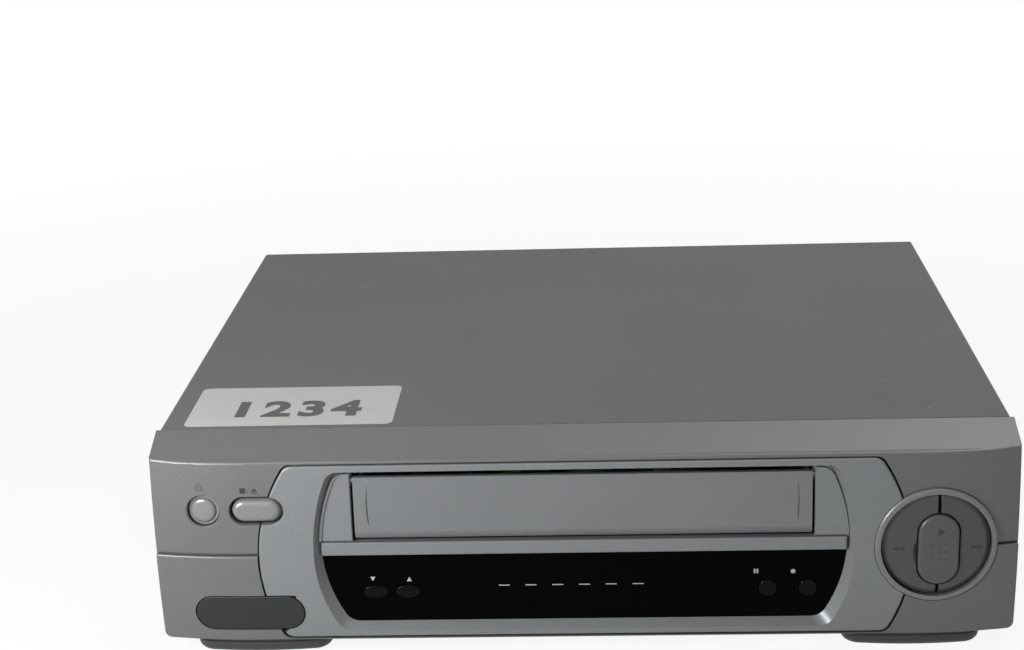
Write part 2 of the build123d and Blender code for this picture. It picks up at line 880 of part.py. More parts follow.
# Play key with nine raised dots
with BuildPart() as dots:
    add(band(play_proud + dot_rise, half_skirt))
    with BuildSketch(Plane.XZ):
        with Locations((play_x, play_z - dot_pitch / 3)):
            with GridLocations(dot_pitch, dot_pitch, 3, 3):
                Circle(dot_radius)
    extrude(amount=depth, mode=Mode.INTERSECT)

with BuildPart() as play_button:
    add(push_button(play_x, play_z, pill(play_w, play_h), play_proud, half_skirt, edge))
    add(dots.part)
save(play_button.part, "play_button")

# Flap over the front sockets
with BuildPart() as jack_flap:
    add(band(wing_proud, flap_thickness - wing_proud))
    with BuildSketch(Plane.XZ):
        with Locations((flap_x, flap_z)):
            SlotOverall(flap_w, flap_h)
    extrude(amount=depth, mode=Mode.INTERSECT)
    fillet(front_edges(jack_flap.part, flap_thickness), flap_rounding)
save(jack_flap.part, "jack_flap")

# Front board, cut away behind the cassette door
front_board_bottom = foot_height + bezel_wall + fit_gap
front_board_half = half_width - bezel_wall - 5 * edge
wing_inner = door_half + door_pin_length + 4 * ear_width
wing_top = power_z + power_hole / 2
with BuildPart() as front_board:
    with BuildSketch(Plane.XZ.offset(-front_board_y - board_thickness)):
        with Locations((0, (front_board_bottom + ledge_bottom) / 2)):
            Rectangle(2 * front_board_half, ledge_bottom - front_board_bottom)
        for side in (-1, 1):
            with Locations((side * (front_board_half + wing_inner) / 2, (ledge_bottom + wing_top) / 2)):
                Rectangle(front_board_half - wing_inner, wing_top - ledge_bottom)
    extrude(amount=board_thickness)
save(front_board.part, "front_board")

# Tact switches behind every key
with BuildPart() as tact_switches:
    with BuildSketch(Plane.XZ.offset(-front_board_y)):
        with Locations(*switch_spots):
            Rectangle(switch_body, switch_body)
    extrude(amount=switch_height)
    with BuildSketch(Plane.XZ.offset(-front_board_y + switch_height)):
        with Locations(*switch_spots):
            Circle(plunger_radius)
    extrude(amount=plunger_height)
save(tact_switches.part, "tact_switches")

# Lamps in a row behind the window, with the remote control receiver beside them
receiver_x = lamp_first_x + lamp_pitch * (lamp_count + 1)
lamp_spots = [(lamp_first_x + lamp_pitch * index, lamp_z) for index in range(lamp_count)]
with BuildPart() as indicator_lamps:
    with BuildSketch(Plane.XZ.offset(-front_board_y)):
        with Locations(*lamp_spots):
            Circle(lamp_radius)
    extrude(amount=lamp_length)
    fillet(front_edges(indicator_lamps.part, lamp_radius), lamp_radius * 2 / 3)
    with BuildSketch(Plane.XZ.offset(-front_board_y)):
        with Locations((receiver_x, lamp_z)):
            Rectangle(receiver_size, receiver_size)
    extrude(amount=lamp_length / 2)
    with Locations((receiver_x, front_board_y - lamp_length / 2, lamp_z)):
        Sphere(receiver_size / 3)
save(indicator_lamps.part, "indicator_lamps")

# Front picture and sound sockets behind the flap
front_jack_length = front_board_y - (face_y + setback(flap_z) + flap_thickness) - 2 * edge
with BuildPart() as front_jacks:
    for index in (-1, 1):
        with BuildSketch(Plane.XZ.offset(-front_board_y)) as socket:
            with Locations((flap_x + index * flap_w / 5, flap_z)):
                Circle(jack_radius)
                Circle(jack_bore, mode=Mode.SUBTRACT)
        extrude(amount=front_jack_length)
        with BuildSketch(Plane.XZ.offset(-front_board_y)):
            with Locations((flap_x + index * flap_w / 5, flap_z)):
                Rectangle(jack_body, jack_body)
        extrude(amount=front_jack_length / 3)
save(front_jacks.part, "front_jacks")

# Steel cover, folded down at both sides, with slots near the back
vent_spots = [(vent_first_y + vent_pitch * index, vent_z) for index in range(vent_count)]
cover_bottom = floor_z
with BuildPart() as top_cover:
    with BuildSketch(Plane.XZ.offset(-cover_back)):
        with Locations((0, (cover_bottom + height) / 2)):
            Rectangle(2 * cover_half, height - cover_bottom)
    extrude(amount=cover_back - cover_front)
    bends = top_cover.edges().filter_by(Axis.Y).group_by(Axis.Z)[-1]
    fillet(bends, cover_bend)
    with BuildSketch(Plane.XZ.offset(-cover_back)) as cover_hollow:
        with Locations((0, (cover_bottom + height - sheet) / 2)):
            Rectangle(2 * inner_half, height - sheet - cover_bottom)
        fillet(cover_hollow.vertices().group_by(Axis.Y)[-1], cover_bend - sheet)
    extrude(amount=cover_back - cover_front, mode=Mode.SUBTRACT)
    with BuildSketch(Plane.YZ):
        with Locations(*vent_spots):
            SlotOverall(vent_height, vent_width, rotation=90)
        with Locations(*[(y, side_screw_z) for y in side_screw_y]):
            Circle(screw_radius + fit_gap)
    extrude(amount=half_width, both=True, mode=Mode.SUBTRACT)
save(top_cover.part, "top_cover")

# Base tray, folded up at its sides, with posts for the boards and the deck
board_posts = [(x, y) for x in standoff_x for y in standoff_y]
deck_posts = [(side * deck_post_x, y) for side in (-1, 1) for y in deck_post_y]
tray_half = inner_half - tiny_gap
tray_front = seam_y + seam
tray_back = rear_panel_y - tiny_gap
with BuildPart() as base_tray:
    with BuildSketch(Plane.XY.offset(foot_height)):
        with Locations((0, (tray_front + tray_back) / 2)):
            Rectangle(2 * tray_half, tray_back - tray_front)
    extrude(amount=sheet)
    for side in (-1, 1):
        edge_x = side * (tray_half - sheet / 2)
        with BuildSketch(Plane.XY.offset(foot_height)):
            with Locations((edge_x, (tray_front + tray_back) / 2)):
                Rectangle(sheet, tray_back - tray_front)
        extrude(amount=side_screw_z + tray_flange - foot_height)
    with BuildSketch(Plane.XY.offset(foot_height)):
        with Locations(*board_posts):
            Circle(standoff_radius)
    extrude(amount=board_z - foot_height)
    with BuildSketch(Plane.XY.offset(foot_height)):
        with Locations(*deck_posts):
            Circle(deck_post_radius)
    extrude(amount=deck_z - foot_height)
    with BuildSketch(Plane.YZ):
        with Locations(*[(y, side_screw_z) for y in side_screw_y]):
            Circle(screw_radius + tiny_gap)
    extrude(amount=half_width, both=True, mode=Mode.SUBTRACT)
save(base_tray.part, "base_tray")

# Rear panel with its cut-outs
rear_screw_x = (rear_screw_inset - half_width, 0, half_width - rear_screw_inset)
rear_top = height - sheet - tiny_gap
jack_spots = [(jack_first_x + jack_pitch * index, jack_z) for index in range(jack_count)]
aerial_spots = [(x, aerial_z) for x in aerial_x]
with BuildPart() as rear_panel:
    with BuildSketch(Plane.XZ.offset(-rear_panel_y - sheet)) as rear_outline:
        with Locations((0, (floor_z - sheet + rear_top) / 2)):
            Rectangle(2 * (inner_half - rear_panel_gap), rear_top - floor_z + sheet)
        fillet(rear_outline.vertices().group_by(Axis.Y)[-1], cover_bend)
        with Locations(*jack_spots):
            Circle(jack_radius + fit_gap, mode=Mode.SUBTRACT)
        with Locations(*aerial_spots):
            Circle(aerial_radius + fit_gap, mode=Mode.SUBTRACT)
        with Locations((inlet_x, inlet_z)):
            Rectangle(inlet_w + 2 * fit_gap, inlet_h + 2 * fit_gap, mode=Mode.SUBTRACT)
        with Locations(*[(x, rear_screw_z) for x in rear_screw_x]):
            Circle(screw_radius + fit_gap, mode=Mode.SUBTRACT)
        with Locations((0, vent_z)):
            with GridLocations(vent_pitch, 0, vent_count, 1):
                SlotOverall(vent_height, vent_width, rotation=90, mode=Mode.SUBTRACT)
    extrude(amount=sheet)
save(rear_panel.part, "rear_panel")

# Screws of the cover: two in each side and three at the back
with BuildPart() as cover_screws:
    for side in (-1, 1):
        for y in side_screw_y:
            with BuildSketch(Plane.YZ.offset(side * cover_half)):
                with Locations((y, side_screw_z)):
                    Circle(screw_head_radius)
            extrude(amount=side * side_head_height)
            with BuildSketch(Plane.YZ.offset(side * cover_half)):
                with Locations((y, side_screw_z)):
                    Circle(screw_radius)
            extrude(amount=-side * 4 * sheet)
    with BuildSketch(Plane.XZ.offset(-rear_panel_y - sheet - rear_head_height)):
        with Locations(*[(x, rear_screw_z) for x in rear_screw_x]):
            Circle(screw_head_radius)
    extrude(amount=rear_head_height)
    with BuildSketch(Plane.XZ.offset(-rear_panel_y - sheet)):
        with Locations(*[(x, rear_screw_z) for x in rear_screw_x]):
            Circle(screw_radius)
    extrude(amount=4 * sheet)

# Front feet, bowed at the front and rounded underneath
foot_front = face_y + setback(foot_height) + foot_setback
with BuildPart() as front_feet:
    for side in (-1, 1):
        with BuildSketch() as foot_outline:
            with BuildLine():
                left = side * foot_x - foot_length / 2
                right = side * foot_x + foot_length / 2
                ThreePointArc(
                    (left, foot_front + foot_bow),
                    (side * foot_x, foot_front),
                    (right, foot_front + foot_bow),
                )
                Polyline(
                    (right, foot_front + foot_bow),
                    (right, foot_front + foot_depth),
                    (left, foot_front + foot_depth),
                    (left, foot_front + foot_bow),
                )
            make_face()
            fillet(foot_outline.vertices(), foot_corner)
        extrude(amount=foot_height - tiny_gap)
        with BuildSketch(Plane.XY.offset(foot_height - 2 * foot_groove - edge)):
            add(foot_outline.sketch)
            offset(foot_outline.sketch, amount=-foot_groove, mode=Mode.SUBTRACT)
        extrude(amount=foot_groove, mode=Mode.SUBTRACT)
    fillet(front_feet.faces().group_by(Axis.Z)[0].edges(), foot_round)
save(front_feet.part, "front_feet")

# Round rubber feet at the back
with BuildPart() as rear_feet:
    for side in (-1, 1):
        with BuildSketch():
            with Locations((side * foot_x, rear_foot_y)):
                Circle(rear_foot_radius)
        extrude(amount=foot_height)
    fillet(rear_feet.faces().group_by(Axis.Z)[0].edges(), edge)
save(rear_feet.part, "rear_feet")

# Main board and power board on the posts of the tray
def board(left, right, front, back):
    """Flat board with clearance holes round the deck posts."""
    with BuildPart() as plate:
        with BuildSketch(Plane.XY.offset(board_z)):
            with Locations(((left + right) / 2, (front + back) / 2)):
                Rectangle(right - left, back - front)
            with Locations(*deck_posts):
                Circle(deck_post_radius + edge, mode=Mode.SUBTRACT)
        extrude(amount=board_thickness)
    return plate.part


save(board(main_board_left, main_board_right, main_board_front, main_board_back), "main_board")
save(board(power_board_left, power_board_right, power_board_front, main_board_back), "power_board")

# Power transformer: a laminated core round its winding
with BuildPart() as transformer_core:
    with BuildSketch(Plane.XZ.offset(-transformer_y - core_d / 2)):
        with Locations((supply_x, board_top + core_h / 2)):
            Rectangle(core_w, core_h)
            for side in (-1, 1):
                with Locations((side * (core_w - core_limb) / 4, 0)):
                    Rectangle((core_w - 3 * core_limb) / 2, core_h - 2 * core_limb, mode=Mode.SUBTRACT)
    extrude(amount=core_d)

winding_h = core_h - 2 * core_limb - 2 * fit_gap
with BuildPart() as transformer_winding:
    with BuildSketch(Plane.XY.offset(board_top + core_limb + fit_gap)) as winding_plan:
        with Locations((supply_x, transformer_y)):
            Rectangle(core_w - 2 * core_limb - 2 * fit_gap, core_d + core_limb)
            Rectangle(core_limb + 2 * fit_gap, core_d + 2 * fit_gap, mode=Mode.SUBTRACT)
        fillet(winding_plan.vertices().group_by(Axis.Y)[0], edge)
    extrude(amount=winding_h)
save(transformer_core.part + transformer_winding.part, "power_transformer")

# Smoothing capacitors, tall cans on the power board
can_spots = [(supply_x + side * can_spread, y) for side in (-1, 1) for y in can_y]
with BuildPart() as capacitors:
    with BuildSketch(Plane.XY.offset(board_top)):
        with Locations(*can_spots):
            Circle(can_radius)
    extrude(amount=can_height)
    fillet(capacitors.faces().group_by(Axis.Z)[-1].edges(), edge)
save(capacitors.part, "capacitors")

# Finned heat sink
with BuildPart() as heat_sink:
    with BuildSketch(Plane.XY.offset(board_top)):
        with Locations((supply_x, sink_y - sink_d / 2 + fin_thickness)):
            Rectangle(sink_w, 2 * fin_thickness)
        with Locations((supply_x, sink_y)):
            with GridLocations(fin_pitch, 0, fin_count, 1):
                Rectangle(fin_thickness, sink_d)
    extrude(amount=sink_h)
save(heat_sink.part, "heat_sink")

# Tuner can with its two aerial sockets
tuner_back = rear_panel_y - fit_gap
tuner_x = (aerial_x[0] + aerial_x[1]) / 2
with BuildPart() as tuner_box:
    with BuildSketch(Plane.XY.offset(board_top)):
        with Locations((tuner_x, tuner_back - tuner_d / 2)):
            Rectangle(tuner_w, tuner_d)
    extrude(amount=tuner_h)
    fillet(tuner_box.edges().filter_by(Axis.Z), edge)
save(tuner_box.part, "tuner_box")

socket_depth = back_y - tuner_back
collar_start = rear_panel_y + sheet + tiny_gap
with BuildPart() as aerial_sockets:
    with BuildSketch(Plane.XZ.offset(-back_y)):
        with Locations(*aerial_spots):
            Circle(aerial_radius)
    extrude(amount=socket_depth)
    with BuildSketch(Plane.XZ.offset(-collar_start - collar_thickness)):
        with Locations(*aerial_spots):
            RegularPolygon(aerial_radius + collar_margin, 6)
    extrude(amount=collar_thickness)
    with BuildSketch(Plane.XZ.offset(-back_y)):
        with Locations(*aerial_spots):
            Circle(aerial_bore)
    extrude(amount=socket_depth - 2 * sheet, mode=Mode.SUBTRACT)

# Picture and sound sockets on one moulded block
jack_mid_x = jack_first_x + jack_pitch * (jack_count - 1) / 2
with BuildPart() as rear_jacks:
    with BuildSketch(Plane.XY.offset(board_top)):
        with Locations((jack_mid_x, tuner_back - jack_block_depth / 2)):
            Rectangle(jack_pitch * jack_count, jack_block_depth)
    extrude(amount=jack_z + jack_body / 2 - board_top)
    with BuildSketch(Plane.XZ.offset(-back_y)):
        with Locations(*jack_spots):
            Circle(jack_radius)
    extrude(amount=socket_depth)
    with BuildSketch(Plane.XZ.offset(-collar_start - collar_thickness)):
        with Locations(*jack_spots):
            Circle(jack_radius + collar_margin)
    extrude(amount=collar_thickness)
    with BuildSketch(Plane.XZ.offset(-back_y)):
        with Locations(*jack_spots):
            Circle(jack_bore)
    extrude(amount=socket_depth - 2 * sheet, mode=Mode.SUBTRACT)
save(aerial_sockets.part + rear_jacks.part, "rear_sockets")

# Mains inlet with its two contact pins
inlet_front = rear_panel_y + sheet - inlet_body_depth
with BuildPart() as mains_inlet:
    with BuildSketch(Plane.XZ.offset(-rear_panel_y - sheet)):
        with Locations((inlet_x, inlet_z)):
            Rectangle(inlet_w, inlet_h)
    extrude(amount=inlet_body_depth)
    with BuildSketch(Plane.XZ.offset(-rear_panel_y - sheet - inlet_lip)):
        with Locations((inlet_x, inlet_z)):
            Rectangle(inlet_w + 4 * edge, inlet_h + 4 * edge)
    extrude(amount=inlet_lip)
    with BuildSketch(Plane.XZ.offset(-rear_panel_y - sheet - inlet_lip)):
        with Locations((inlet_x, inlet_z)):
            SlotOverall(inlet_bore_w, inlet_bore_h)
    extrude(amount=inlet_bore_depth + inlet_lip, mode=Mode.SUBTRACT)
    with BuildSketch(Plane.XZ.offset(-rear_panel_y - sheet)):
        with Locations((inlet_x, inlet_z)):
            with GridLocations(inlet_pin_spacing, 0, 2, 1):
                Circle(inlet_pin_radius)
    extrude(amount=inlet_bore_depth + edge)
    with BuildSketch(Plane.XY.offset(board_top)):
        with Locations((inlet_x, inlet_front + edge)):
            Rectangle(inlet_w / 2, 2 * edge)
    extrude(amount=inlet_z - board_top)
save(mains_inlet.part, "mains_inlet")

# Deck plate of the tape mechanism
guide_run_x = guide_end_x - guide_rest_x
guide_run_y = guide_end_y - guide_rest_y
guide_travel = math.hypot(guide_run_x, guide_run_y)
guide_heading = math.degrees(math.atan2(guide_run_y, guide_run_x))
with BuildPart() as deck_plate:
    with BuildSketch(Plane.XY.offset(deck_z)):
        with Locations((0, (deck_front + deck_back) / 2)):
            Rectangle(2 * deck_half, deck_back - deck_front)
        with Locations(*deck_posts):
            Circle(screw_radius + tiny_gap, mode=Mode.SUBTRACT)
        with Locations((capstan_x, capstan_y)):
            Circle(capstan_radius + fit_gap, mode=Mode.SUBTRACT)
        with Locations((clutch_x, clutch_y)):
            Circle(reel_shaft_radius + fit_gap, mode=Mode.SUBTRACT)
        for side in (-1, 1):
            middle_x = side * (guide_rest_x + guide_end_x) / 2
            heading = guide_heading if side > 0 else 180 - guide_heading
            with Locations((middle_x, (guide_rest_y + guide_end_y) / 2)):
                SlotCenterToCenter(
                    guide_travel,
                    2 * (guide_peg_radius + fit_gap),
                    rotation=heading,
                    mode=Mode.SUBTRACT,
                )
    extrude(amount=deck_thickness)
save(deck_plate.part, "deck_plate")

with BuildPart() as deck_screws:
    with BuildSketch(Plane.XY.offset(deck_top)):
        with Locations(*deck_posts):
            Circle(deck_screw_radius)
    extrude(amount=deck_screw_height)
    with BuildSketch(Plane.XY.offset(deck_top)):
        with Locations(*deck_posts):
            Circle(screw_radius)
    extrude(amount=-deck_thickness)
save(cover_screws.part + deck_screws.part, "screws")

# Video drum, which leans back a little: a fixed lower half and a turning upper half
drum_plane = Plane(
    origin=(0, drum_y, drum_seam_z),
    x_dir=(1, 0, 0),
    z_dir=(0, -math.sin(math.radians(drum_tilt)), math.cos(math.radians(drum_tilt))),
)
with BuildPart() as lower_drum:
    with BuildSketch(drum_plane.offset(-lower_drum_height)):
        Circle(drum_radius)
    extrude(amount=lower_drum_height)
    with BuildSketch(Plane.XY.offset(deck_top)):
        with Locations((0, drum_y)):
            Circle(drum_pedestal)
    extrude(amount=drum_seam_z - lower_drum_height / 2 - deck_top)
    with BuildSketch(drum_plane.offset(-lower_drum_height)):
        Circle(drum_shaft_radius + bearing_gap)
    extrude(amount=lower_drum_height, mode=Mode.SUBTRACT)
save(lower_drum.part, "lower_drum")

with BuildPart() as upper_drum:
    with BuildSketch(drum_plane.offset(drum_gap)):
        Circle(drum_radius)
    extrude(amount=upper_drum_height)
    chamfer(upper_drum.edges().filter_by(GeomType.CIRCLE).sort_by(Axis.Z)[-1], edge)
    with BuildSketch(drum_plane.offset(drum_gap)):
        with PolarLocations(drum_radius, drum_head_count):
            Rectangle(edge, drum_head_w)
    extrude(amount=edge, mode=Mode.SUBTRACT)
    with BuildSketch(drum_plane.offset(drum_gap)):
        Circle(drum_shaft_radius)
    extrude(amount=-lower_drum_height)
save(upper_drum.part, "upper_drum")

with BuildPart() as drum_rotor:
    with BuildSketch(drum_plane.offset(drum_gap + upper_drum_height)):
        Circle(rotor_radius)
    extrude(amount=rotor_height)
    fillet(drum_rotor.edges().filter_by(GeomType.CIRCLE).sort_by(Axis.Z)[-1], edge)
    with BuildSketch(drum_plane.offset(drum_gap + upper_drum_height + rotor_height)):
        with PolarLocations(rotor_radius * 2 / 3, rotor_hole_count):
            Circle(screw_radius)
    extrude(amount=-rotor_height / 2, mode=Mode.SUBTRACT)
save(drum_rotor.part, "drum_rotor")

# Capstan with its flywheel and pulley, and its bearing
pulley_bottom = flywheel_bottom + flywheel_height
with BuildPart() as capstan_flywheel:
    add(post(capstan_x, capstan_y, flywheel_radius, flywheel_bottom, pulley_bottom))
    add(post(capstan_x, capstan_y, pulley_radius, pulley_bottom, pulley_bottom + pulley_height))
    add(post(capstan_x, capstan_y, capstan_radius, pulley_bottom, capstan_top))
save(capstan_flywheel.part, "capstan_flywheel")

with BuildPart() as capstan_bearing:
    with BuildSketch(Plane.XY.offset(deck_top)) as flange:
        with Locations((capstan_x, capstan_y)):
            Rectangle(bearing_flange, bearing_flange)
        fillet(flange.vertices(), bearing_radius / 2)
    extrude(amount=2 * sheet)
    add(post(capstan_x, capstan_y, bearing_radius, deck_top, deck_top + bearing_height))
    with BuildSketch(Plane.XY.offset(deck_top)):
        with Locations((capstan_x, capstan_y)):
            Circle(capstan_radius + bearing_gap)
    extrude(amount=bearing_height, mode=Mode.SUBTRACT)
save(capstan_bearing.part, "capstan_bearing")

# Clutch pulley on the idler's shaft, driven by the belt under the deck
with BuildPart() as clutch_pulley:
    add(post(clutch_x, clutch_y, clutch_radius, pulley_bottom, pulley_bottom + pulley_height))
    add(post(clutch_x, clutch_y, reel_shaft_radius, pulley_bottom, deck_top))
save(clutch_pulley.part, "clutch_pulley")

belt_bottom = pulley_bottom + (pulley_height - belt_height) / 2
belt_run = math.hypot(capstan_x - clutch_x, capstan_y - clutch_y)
belt_angle = math.degrees(math.atan2(capstan_y - clutch_y, capstan_x - clutch_x))


def belt_outline(margin):
    """Closed loop round both pulleys, kept off them by a margin."""
    small = pulley_radius + margin
    large = clutch_radius + margin
    lean = math.acos((large - small) / belt_run)
    with BuildSketch() as outline:
        Circle(large)
        with Locations((belt_run, 0)):
            Circle(small)
        with BuildLine():
            Polyline(
                (large * math.cos(lean), large * math.sin(lean)),
                (belt_run + small * math.cos(lean), small * math.sin(lean)),
                (belt_run + small * math.cos(lean), -small * math.sin(lean)),
                (large * math.cos(lean), -large * math.sin(lean)),
                close=True,
            )
        make_face()
    return outline.sketch


belt_plane = Plane.XY.offset(belt_bottom) * Location((clutch_x, clutch_y, 0), (0, 0, belt_angle))
with BuildPart() as capstan_belt:
    with BuildSketch(belt_plane):
        add(belt_outline(tiny_gap + belt_thickness))
        add(belt_outline(tiny_gap), mode=Mode.SUBTRACT)
    extrude(amount=belt_height)
save(capstan_belt.part, "capstan_belt")

# Pinch roller on its swinging arm
pinch_angle = math.radians(pinch_rest_angle)
pinch_x = pinch_pivot_x + pinch_arm_length * math.cos(pinch_angle)
pinch_y = pinch_pivot_y + pinch_arm_length * math.sin(pinch_angle)
pinch_top = pinch_bottom + pinch_height


def swing_arm(x, y, length, heading, breadth, bottom):
    """Flat lever that reaches from its pivot along a heading."""
    arm_plane = Plane.XY.offset(bottom) * Location((x, y, 0), (0, 0, heading))
    with BuildPart() as lever:
        with BuildSketch(arm_plane):
            with Locations((length / 2, 0)):
                SlotCenterToCenter(length, breadth)
        extrude(amount=arm_thickness)
    return lever.part


pinch_breadth = 4 * pivot_pin
with BuildPart() as pinch_arm:
    arm_low = pinch_bottom - arm_thickness - fit_gap
    add(swing_arm(pinch_pivot_x, pinch_pivot_y, pinch_arm_length, pinch_rest_angle, pinch_breadth, arm_low))
    add(post(pinch_pivot_x, pinch_pivot_y, pinch_breadth / 2, arm_low, pinch_top - pinch_height / 2))
    add(post(pinch_x, pinch_y, pinch_axle, arm_low, pinch_top))
    add(post(pinch_x, pinch_y, 2 * pinch_axle, pinch_top + fit_gap, pinch_top + 3 * fit_gap))
    add(post(pinch_x, pinch_y, pinch_axle, pinch_top, pinch_top + fit_gap))
    add(post(pinch_pivot_x, pinch_pivot_y, pivot_pin + bearing_gap, arm_low, pinch_top), mode=Mode.SUBTRACT)
save(pinch_arm.part, "pinch_arm")

with BuildPart() as pinch_roller:
    add(post(pinch_x, pinch_y, pinch_radius, pinch_bottom, pinch_top))
    add(post(pinch_x, pinch_y, pinch_axle + bearing_gap, pinch_bottom, pinch_top), mode=Mode.SUBTRACT)
save(pinch_roller.part, "pinch_roller")

# Reel tables with three drive ribs each
for side, reel_name in ((-1, "supply_reel"), (1, "takeup_reel")):
    with BuildPart() as reel:
        disc_top = reel_disc_bottom + reel_disc_height
        add(post(side * reel_x, reel_y, reel_disc_radius, reel_disc_bottom, disc_top))
        add(post(side * reel_x, reel_y, reel_hub_radius, disc_top, reel_top - reel_hub_radius / 2))
        add(post(side * reel_x, reel_y, reel_hub_radius - edge, disc_top, reel_top))
        with BuildSketch(Plane.XY.offset(disc_top)):
            with Locations((side * reel_x, reel_y)):
                with PolarLocations(reel_hub_radius, reel_rib_count):
                    Rectangle(2 * edge, edge)
        extrude(amount=reel_top - reel_hub_radius - disc_top)
        hole_top = reel_top - edge
        add(
            post(side * reel_x, reel_y, reel_shaft_radius + bearing_gap, reel_disc_bottom, hole_top),
            mode=Mode.SUBTRACT,
        )
    save(reel.part, reel_name)

# Fixed shafts that the reels, arms and cam gear turn on
shaft_spots = [
    (-reel_x, reel_y, reel_shaft_radius, reel_top - 2 * edge),
    (reel_x, reel_y, reel_shaft_radius, reel_top - 2 * edge),
    (pinch_pivot_x, pinch_pivot_y, pivot_pin, pinch_top - pinch_height / 2),
    (tension_pivot_x, tension_pivot_y, pivot_pin, pinch_top - pinch_height / 2),
    (cam_x, cam_y, pivot_pin, cam_bottom + cam_height + edge),
]
with BuildPart() as deck_shafts:
    for x, y, radius, top in shaft_spots:
        add(post(x, y, radius, deck_top, top))
        add(post(x, y, radius + edge, deck_top, reel_disc_bottom - fit_gap))
save(deck_shafts.part, "deck_shafts")

# Idler wheel on the arm that swings between the reels
idler_y = clutch_y - idler_arm_length
idler_low = deck_top + fit_gap
wheel_low = idler_low + arm_thickness + fit_gap
wheel_top = reel_disc_bottom + reel_disc_height
with BuildPart() as idler_arm:
    add(swing_arm(clutch_x, clutch_y, idler_arm_length, -90, idler_arm_width, idler_low))
    add(post(clutch_x, idler_y, reel_shaft_radius, idler_low, wheel_top + fit_gap))
save(idler_arm.part, "idler_arm")

with BuildPart() as idler_wheel:
    add(post(clutch_x, idler_y, idler_radius, wheel_low, wheel_top))
    add(post(clutch_x, idler_y, reel_shaft_radius + bearing_gap, wheel_low, wheel_top), mode=Mode.SUBTRACT)
save(idler_wheel.part, "idler_wheel")

# Guide posts that pull the tape round the drum
for side, guide_name in ((-1, "supply_guide"), (1, "takeup_guide")):
    with BuildPart() as guide:
        guide_x = side * guide_rest_x
        guide_low = deck_top + fit_gap
        base_top = guide_low + guide_base_height
        add(post(guide_x, guide_rest_y, guide_base_radius, guide_low, base_top))
        add(post(guide_x, guide_rest_y, guide_peg_radius, deck_z - edge, guide_low))
        add(post(guide_x, guide_rest_y, guide_roller_radius, base_top, guide_top - edge))
        add(post(guide_x, guide_rest_y, guide_roller_radius + edge / 2, guide_top - edge, guide_top))
    save(guide.part, guide_name)

# Tension arm on the supply side
with BuildPart() as tension_arm:
    add(
        swing_arm(
            tension_pivot_x,
            tension_pivot_y,
            tension_length,
            tension_angle,
            pinch_breadth,
            pinch_bottom,
        )
    )
    tip_angle = math.radians(tension_angle)
    tip_x = tension_pivot_x + tension_length * math.cos(tip_angle)
    tip_y = tension_pivot_y + tension_length * math.sin(tip_angle)
    add(post(tip_x, tip_y, pinch_axle, pinch_bottom, control_top))
    arm_bore = pivot_pin + bearing_gap
    add(
        post(tension_pivot_x, tension_pivot_y, arm_bore, deck_top, control_top),
        mode=Mode.SUBTRACT,
    )
save(tension_arm.part, "tension_arm")

# Erase head and the sound and control head, each on its own foot
with BuildPart() as erase_head:
    add(
        lying_box(
            erase_x - erase_w / 2,
            erase_x + erase_w / 2,
            erase_y - erase_d / 2,
            erase_y + erase_d / 2,
            deck_top,
            erase_top,
        )
    )
    fillet(erase_head.edges().filter_by(Axis.Z), edge)
save(erase_head.part, "erase_head")

with BuildPart() as control_head:
    add(
        lying_box(
            control_x - control_w / 2,
            control_x + control_w / 2,
            control_y - control_d / 2,
            control_y + control_d / 2,
            deck_top,
            control_top,
        )
    )
    fillet(control_head.edges().filter_by(Axis.Z), edge)
save(control_head.part, "control_head")

# Cam gear, and the worm and motor that turn it
with BuildPart() as cam_gear:
    with BuildSketch(Plane.XY.offset(cam_bottom)):
        with Locations((cam_x, cam_y)):
            Circle(cam_radius - cam_tooth)
            with PolarLocations(cam_radius - cam_tooth, cam_teeth):
                Rectangle(2 * cam_tooth, cam_tooth)
            Circle(pivot_pin + bearing_gap, mode=Mode.SUBTRACT)
    extrude(amount=cam_height)
save(cam_gear.part, "cam_gear")

worm_y = cam_y + cam_radius + worm_radius + fit_gap
worm_z = cam_bottom + cam_height / 2
worm_left = cam_x - worm_length / 2
groove_count = int((worm_length - worm_groove_pitch) / worm_groove_pitch)
with BuildPart() as loading_worm:
    with BuildSketch(Plane.YZ.offset(worm_left)):
        with Locations((worm_y, worm_z)):
            Circle(worm_radius)
    extrude(amount=worm_length)
    for index in range(groove_count):
        with BuildSketch(Plane.YZ.offset(worm_left + worm_groove_pitch * (index + 0.5))):
            with Locations((worm_y, worm_z)):
                Circle(worm_radius + edge)
                Circle(worm_radius - worm_groove, mode=Mode.SUBTRACT)
        extrude(amount=worm_groove_pitch / 2, mode=Mode.SUBTRACT)
    with BuildSketch(Plane.YZ.offset(worm_left)):
        with Locations((worm_y, worm_z)):
            Circle(screw_radius)
    extrude(amount=-4 * edge)
save(loading_worm.part, "loading_worm")

motor_right = worm_left - edge
with BuildPart() as loading_motor:
    with BuildSketch(Plane.YZ.offset(motor_right)):
        with Locations((worm_y, worm_z)):
            Circle(motor_radius)
    extrude(amount=-motor_length)
    with BuildSketch(Plane.YZ.offset(motor_right)):
        with Locations((worm_y, worm_z - motor_radius / 2)):
            Rectangle(motor_radius, motor_radius)
    extrude(amount=-motor_length)
    with BuildSketch(Plane.YZ.offset(motor_right)):
        with Locations((worm_y, worm_z)):
            Circle(screw_radius + bearing_gap)
    extrude(amount=-motor_length / 2, mode=Mode.SUBTRACT)
    with BuildSketch(Plane.XY.offset(deck_top)):
        with Locations((motor_right - motor_length / 2, worm_y)):
            Rectangle(motor_length, 2 * cam_radius)
    extrude(amount=-motor_length, mode=Mode.SUBTRACT)
save(loading_motor.part, "loading_motor")

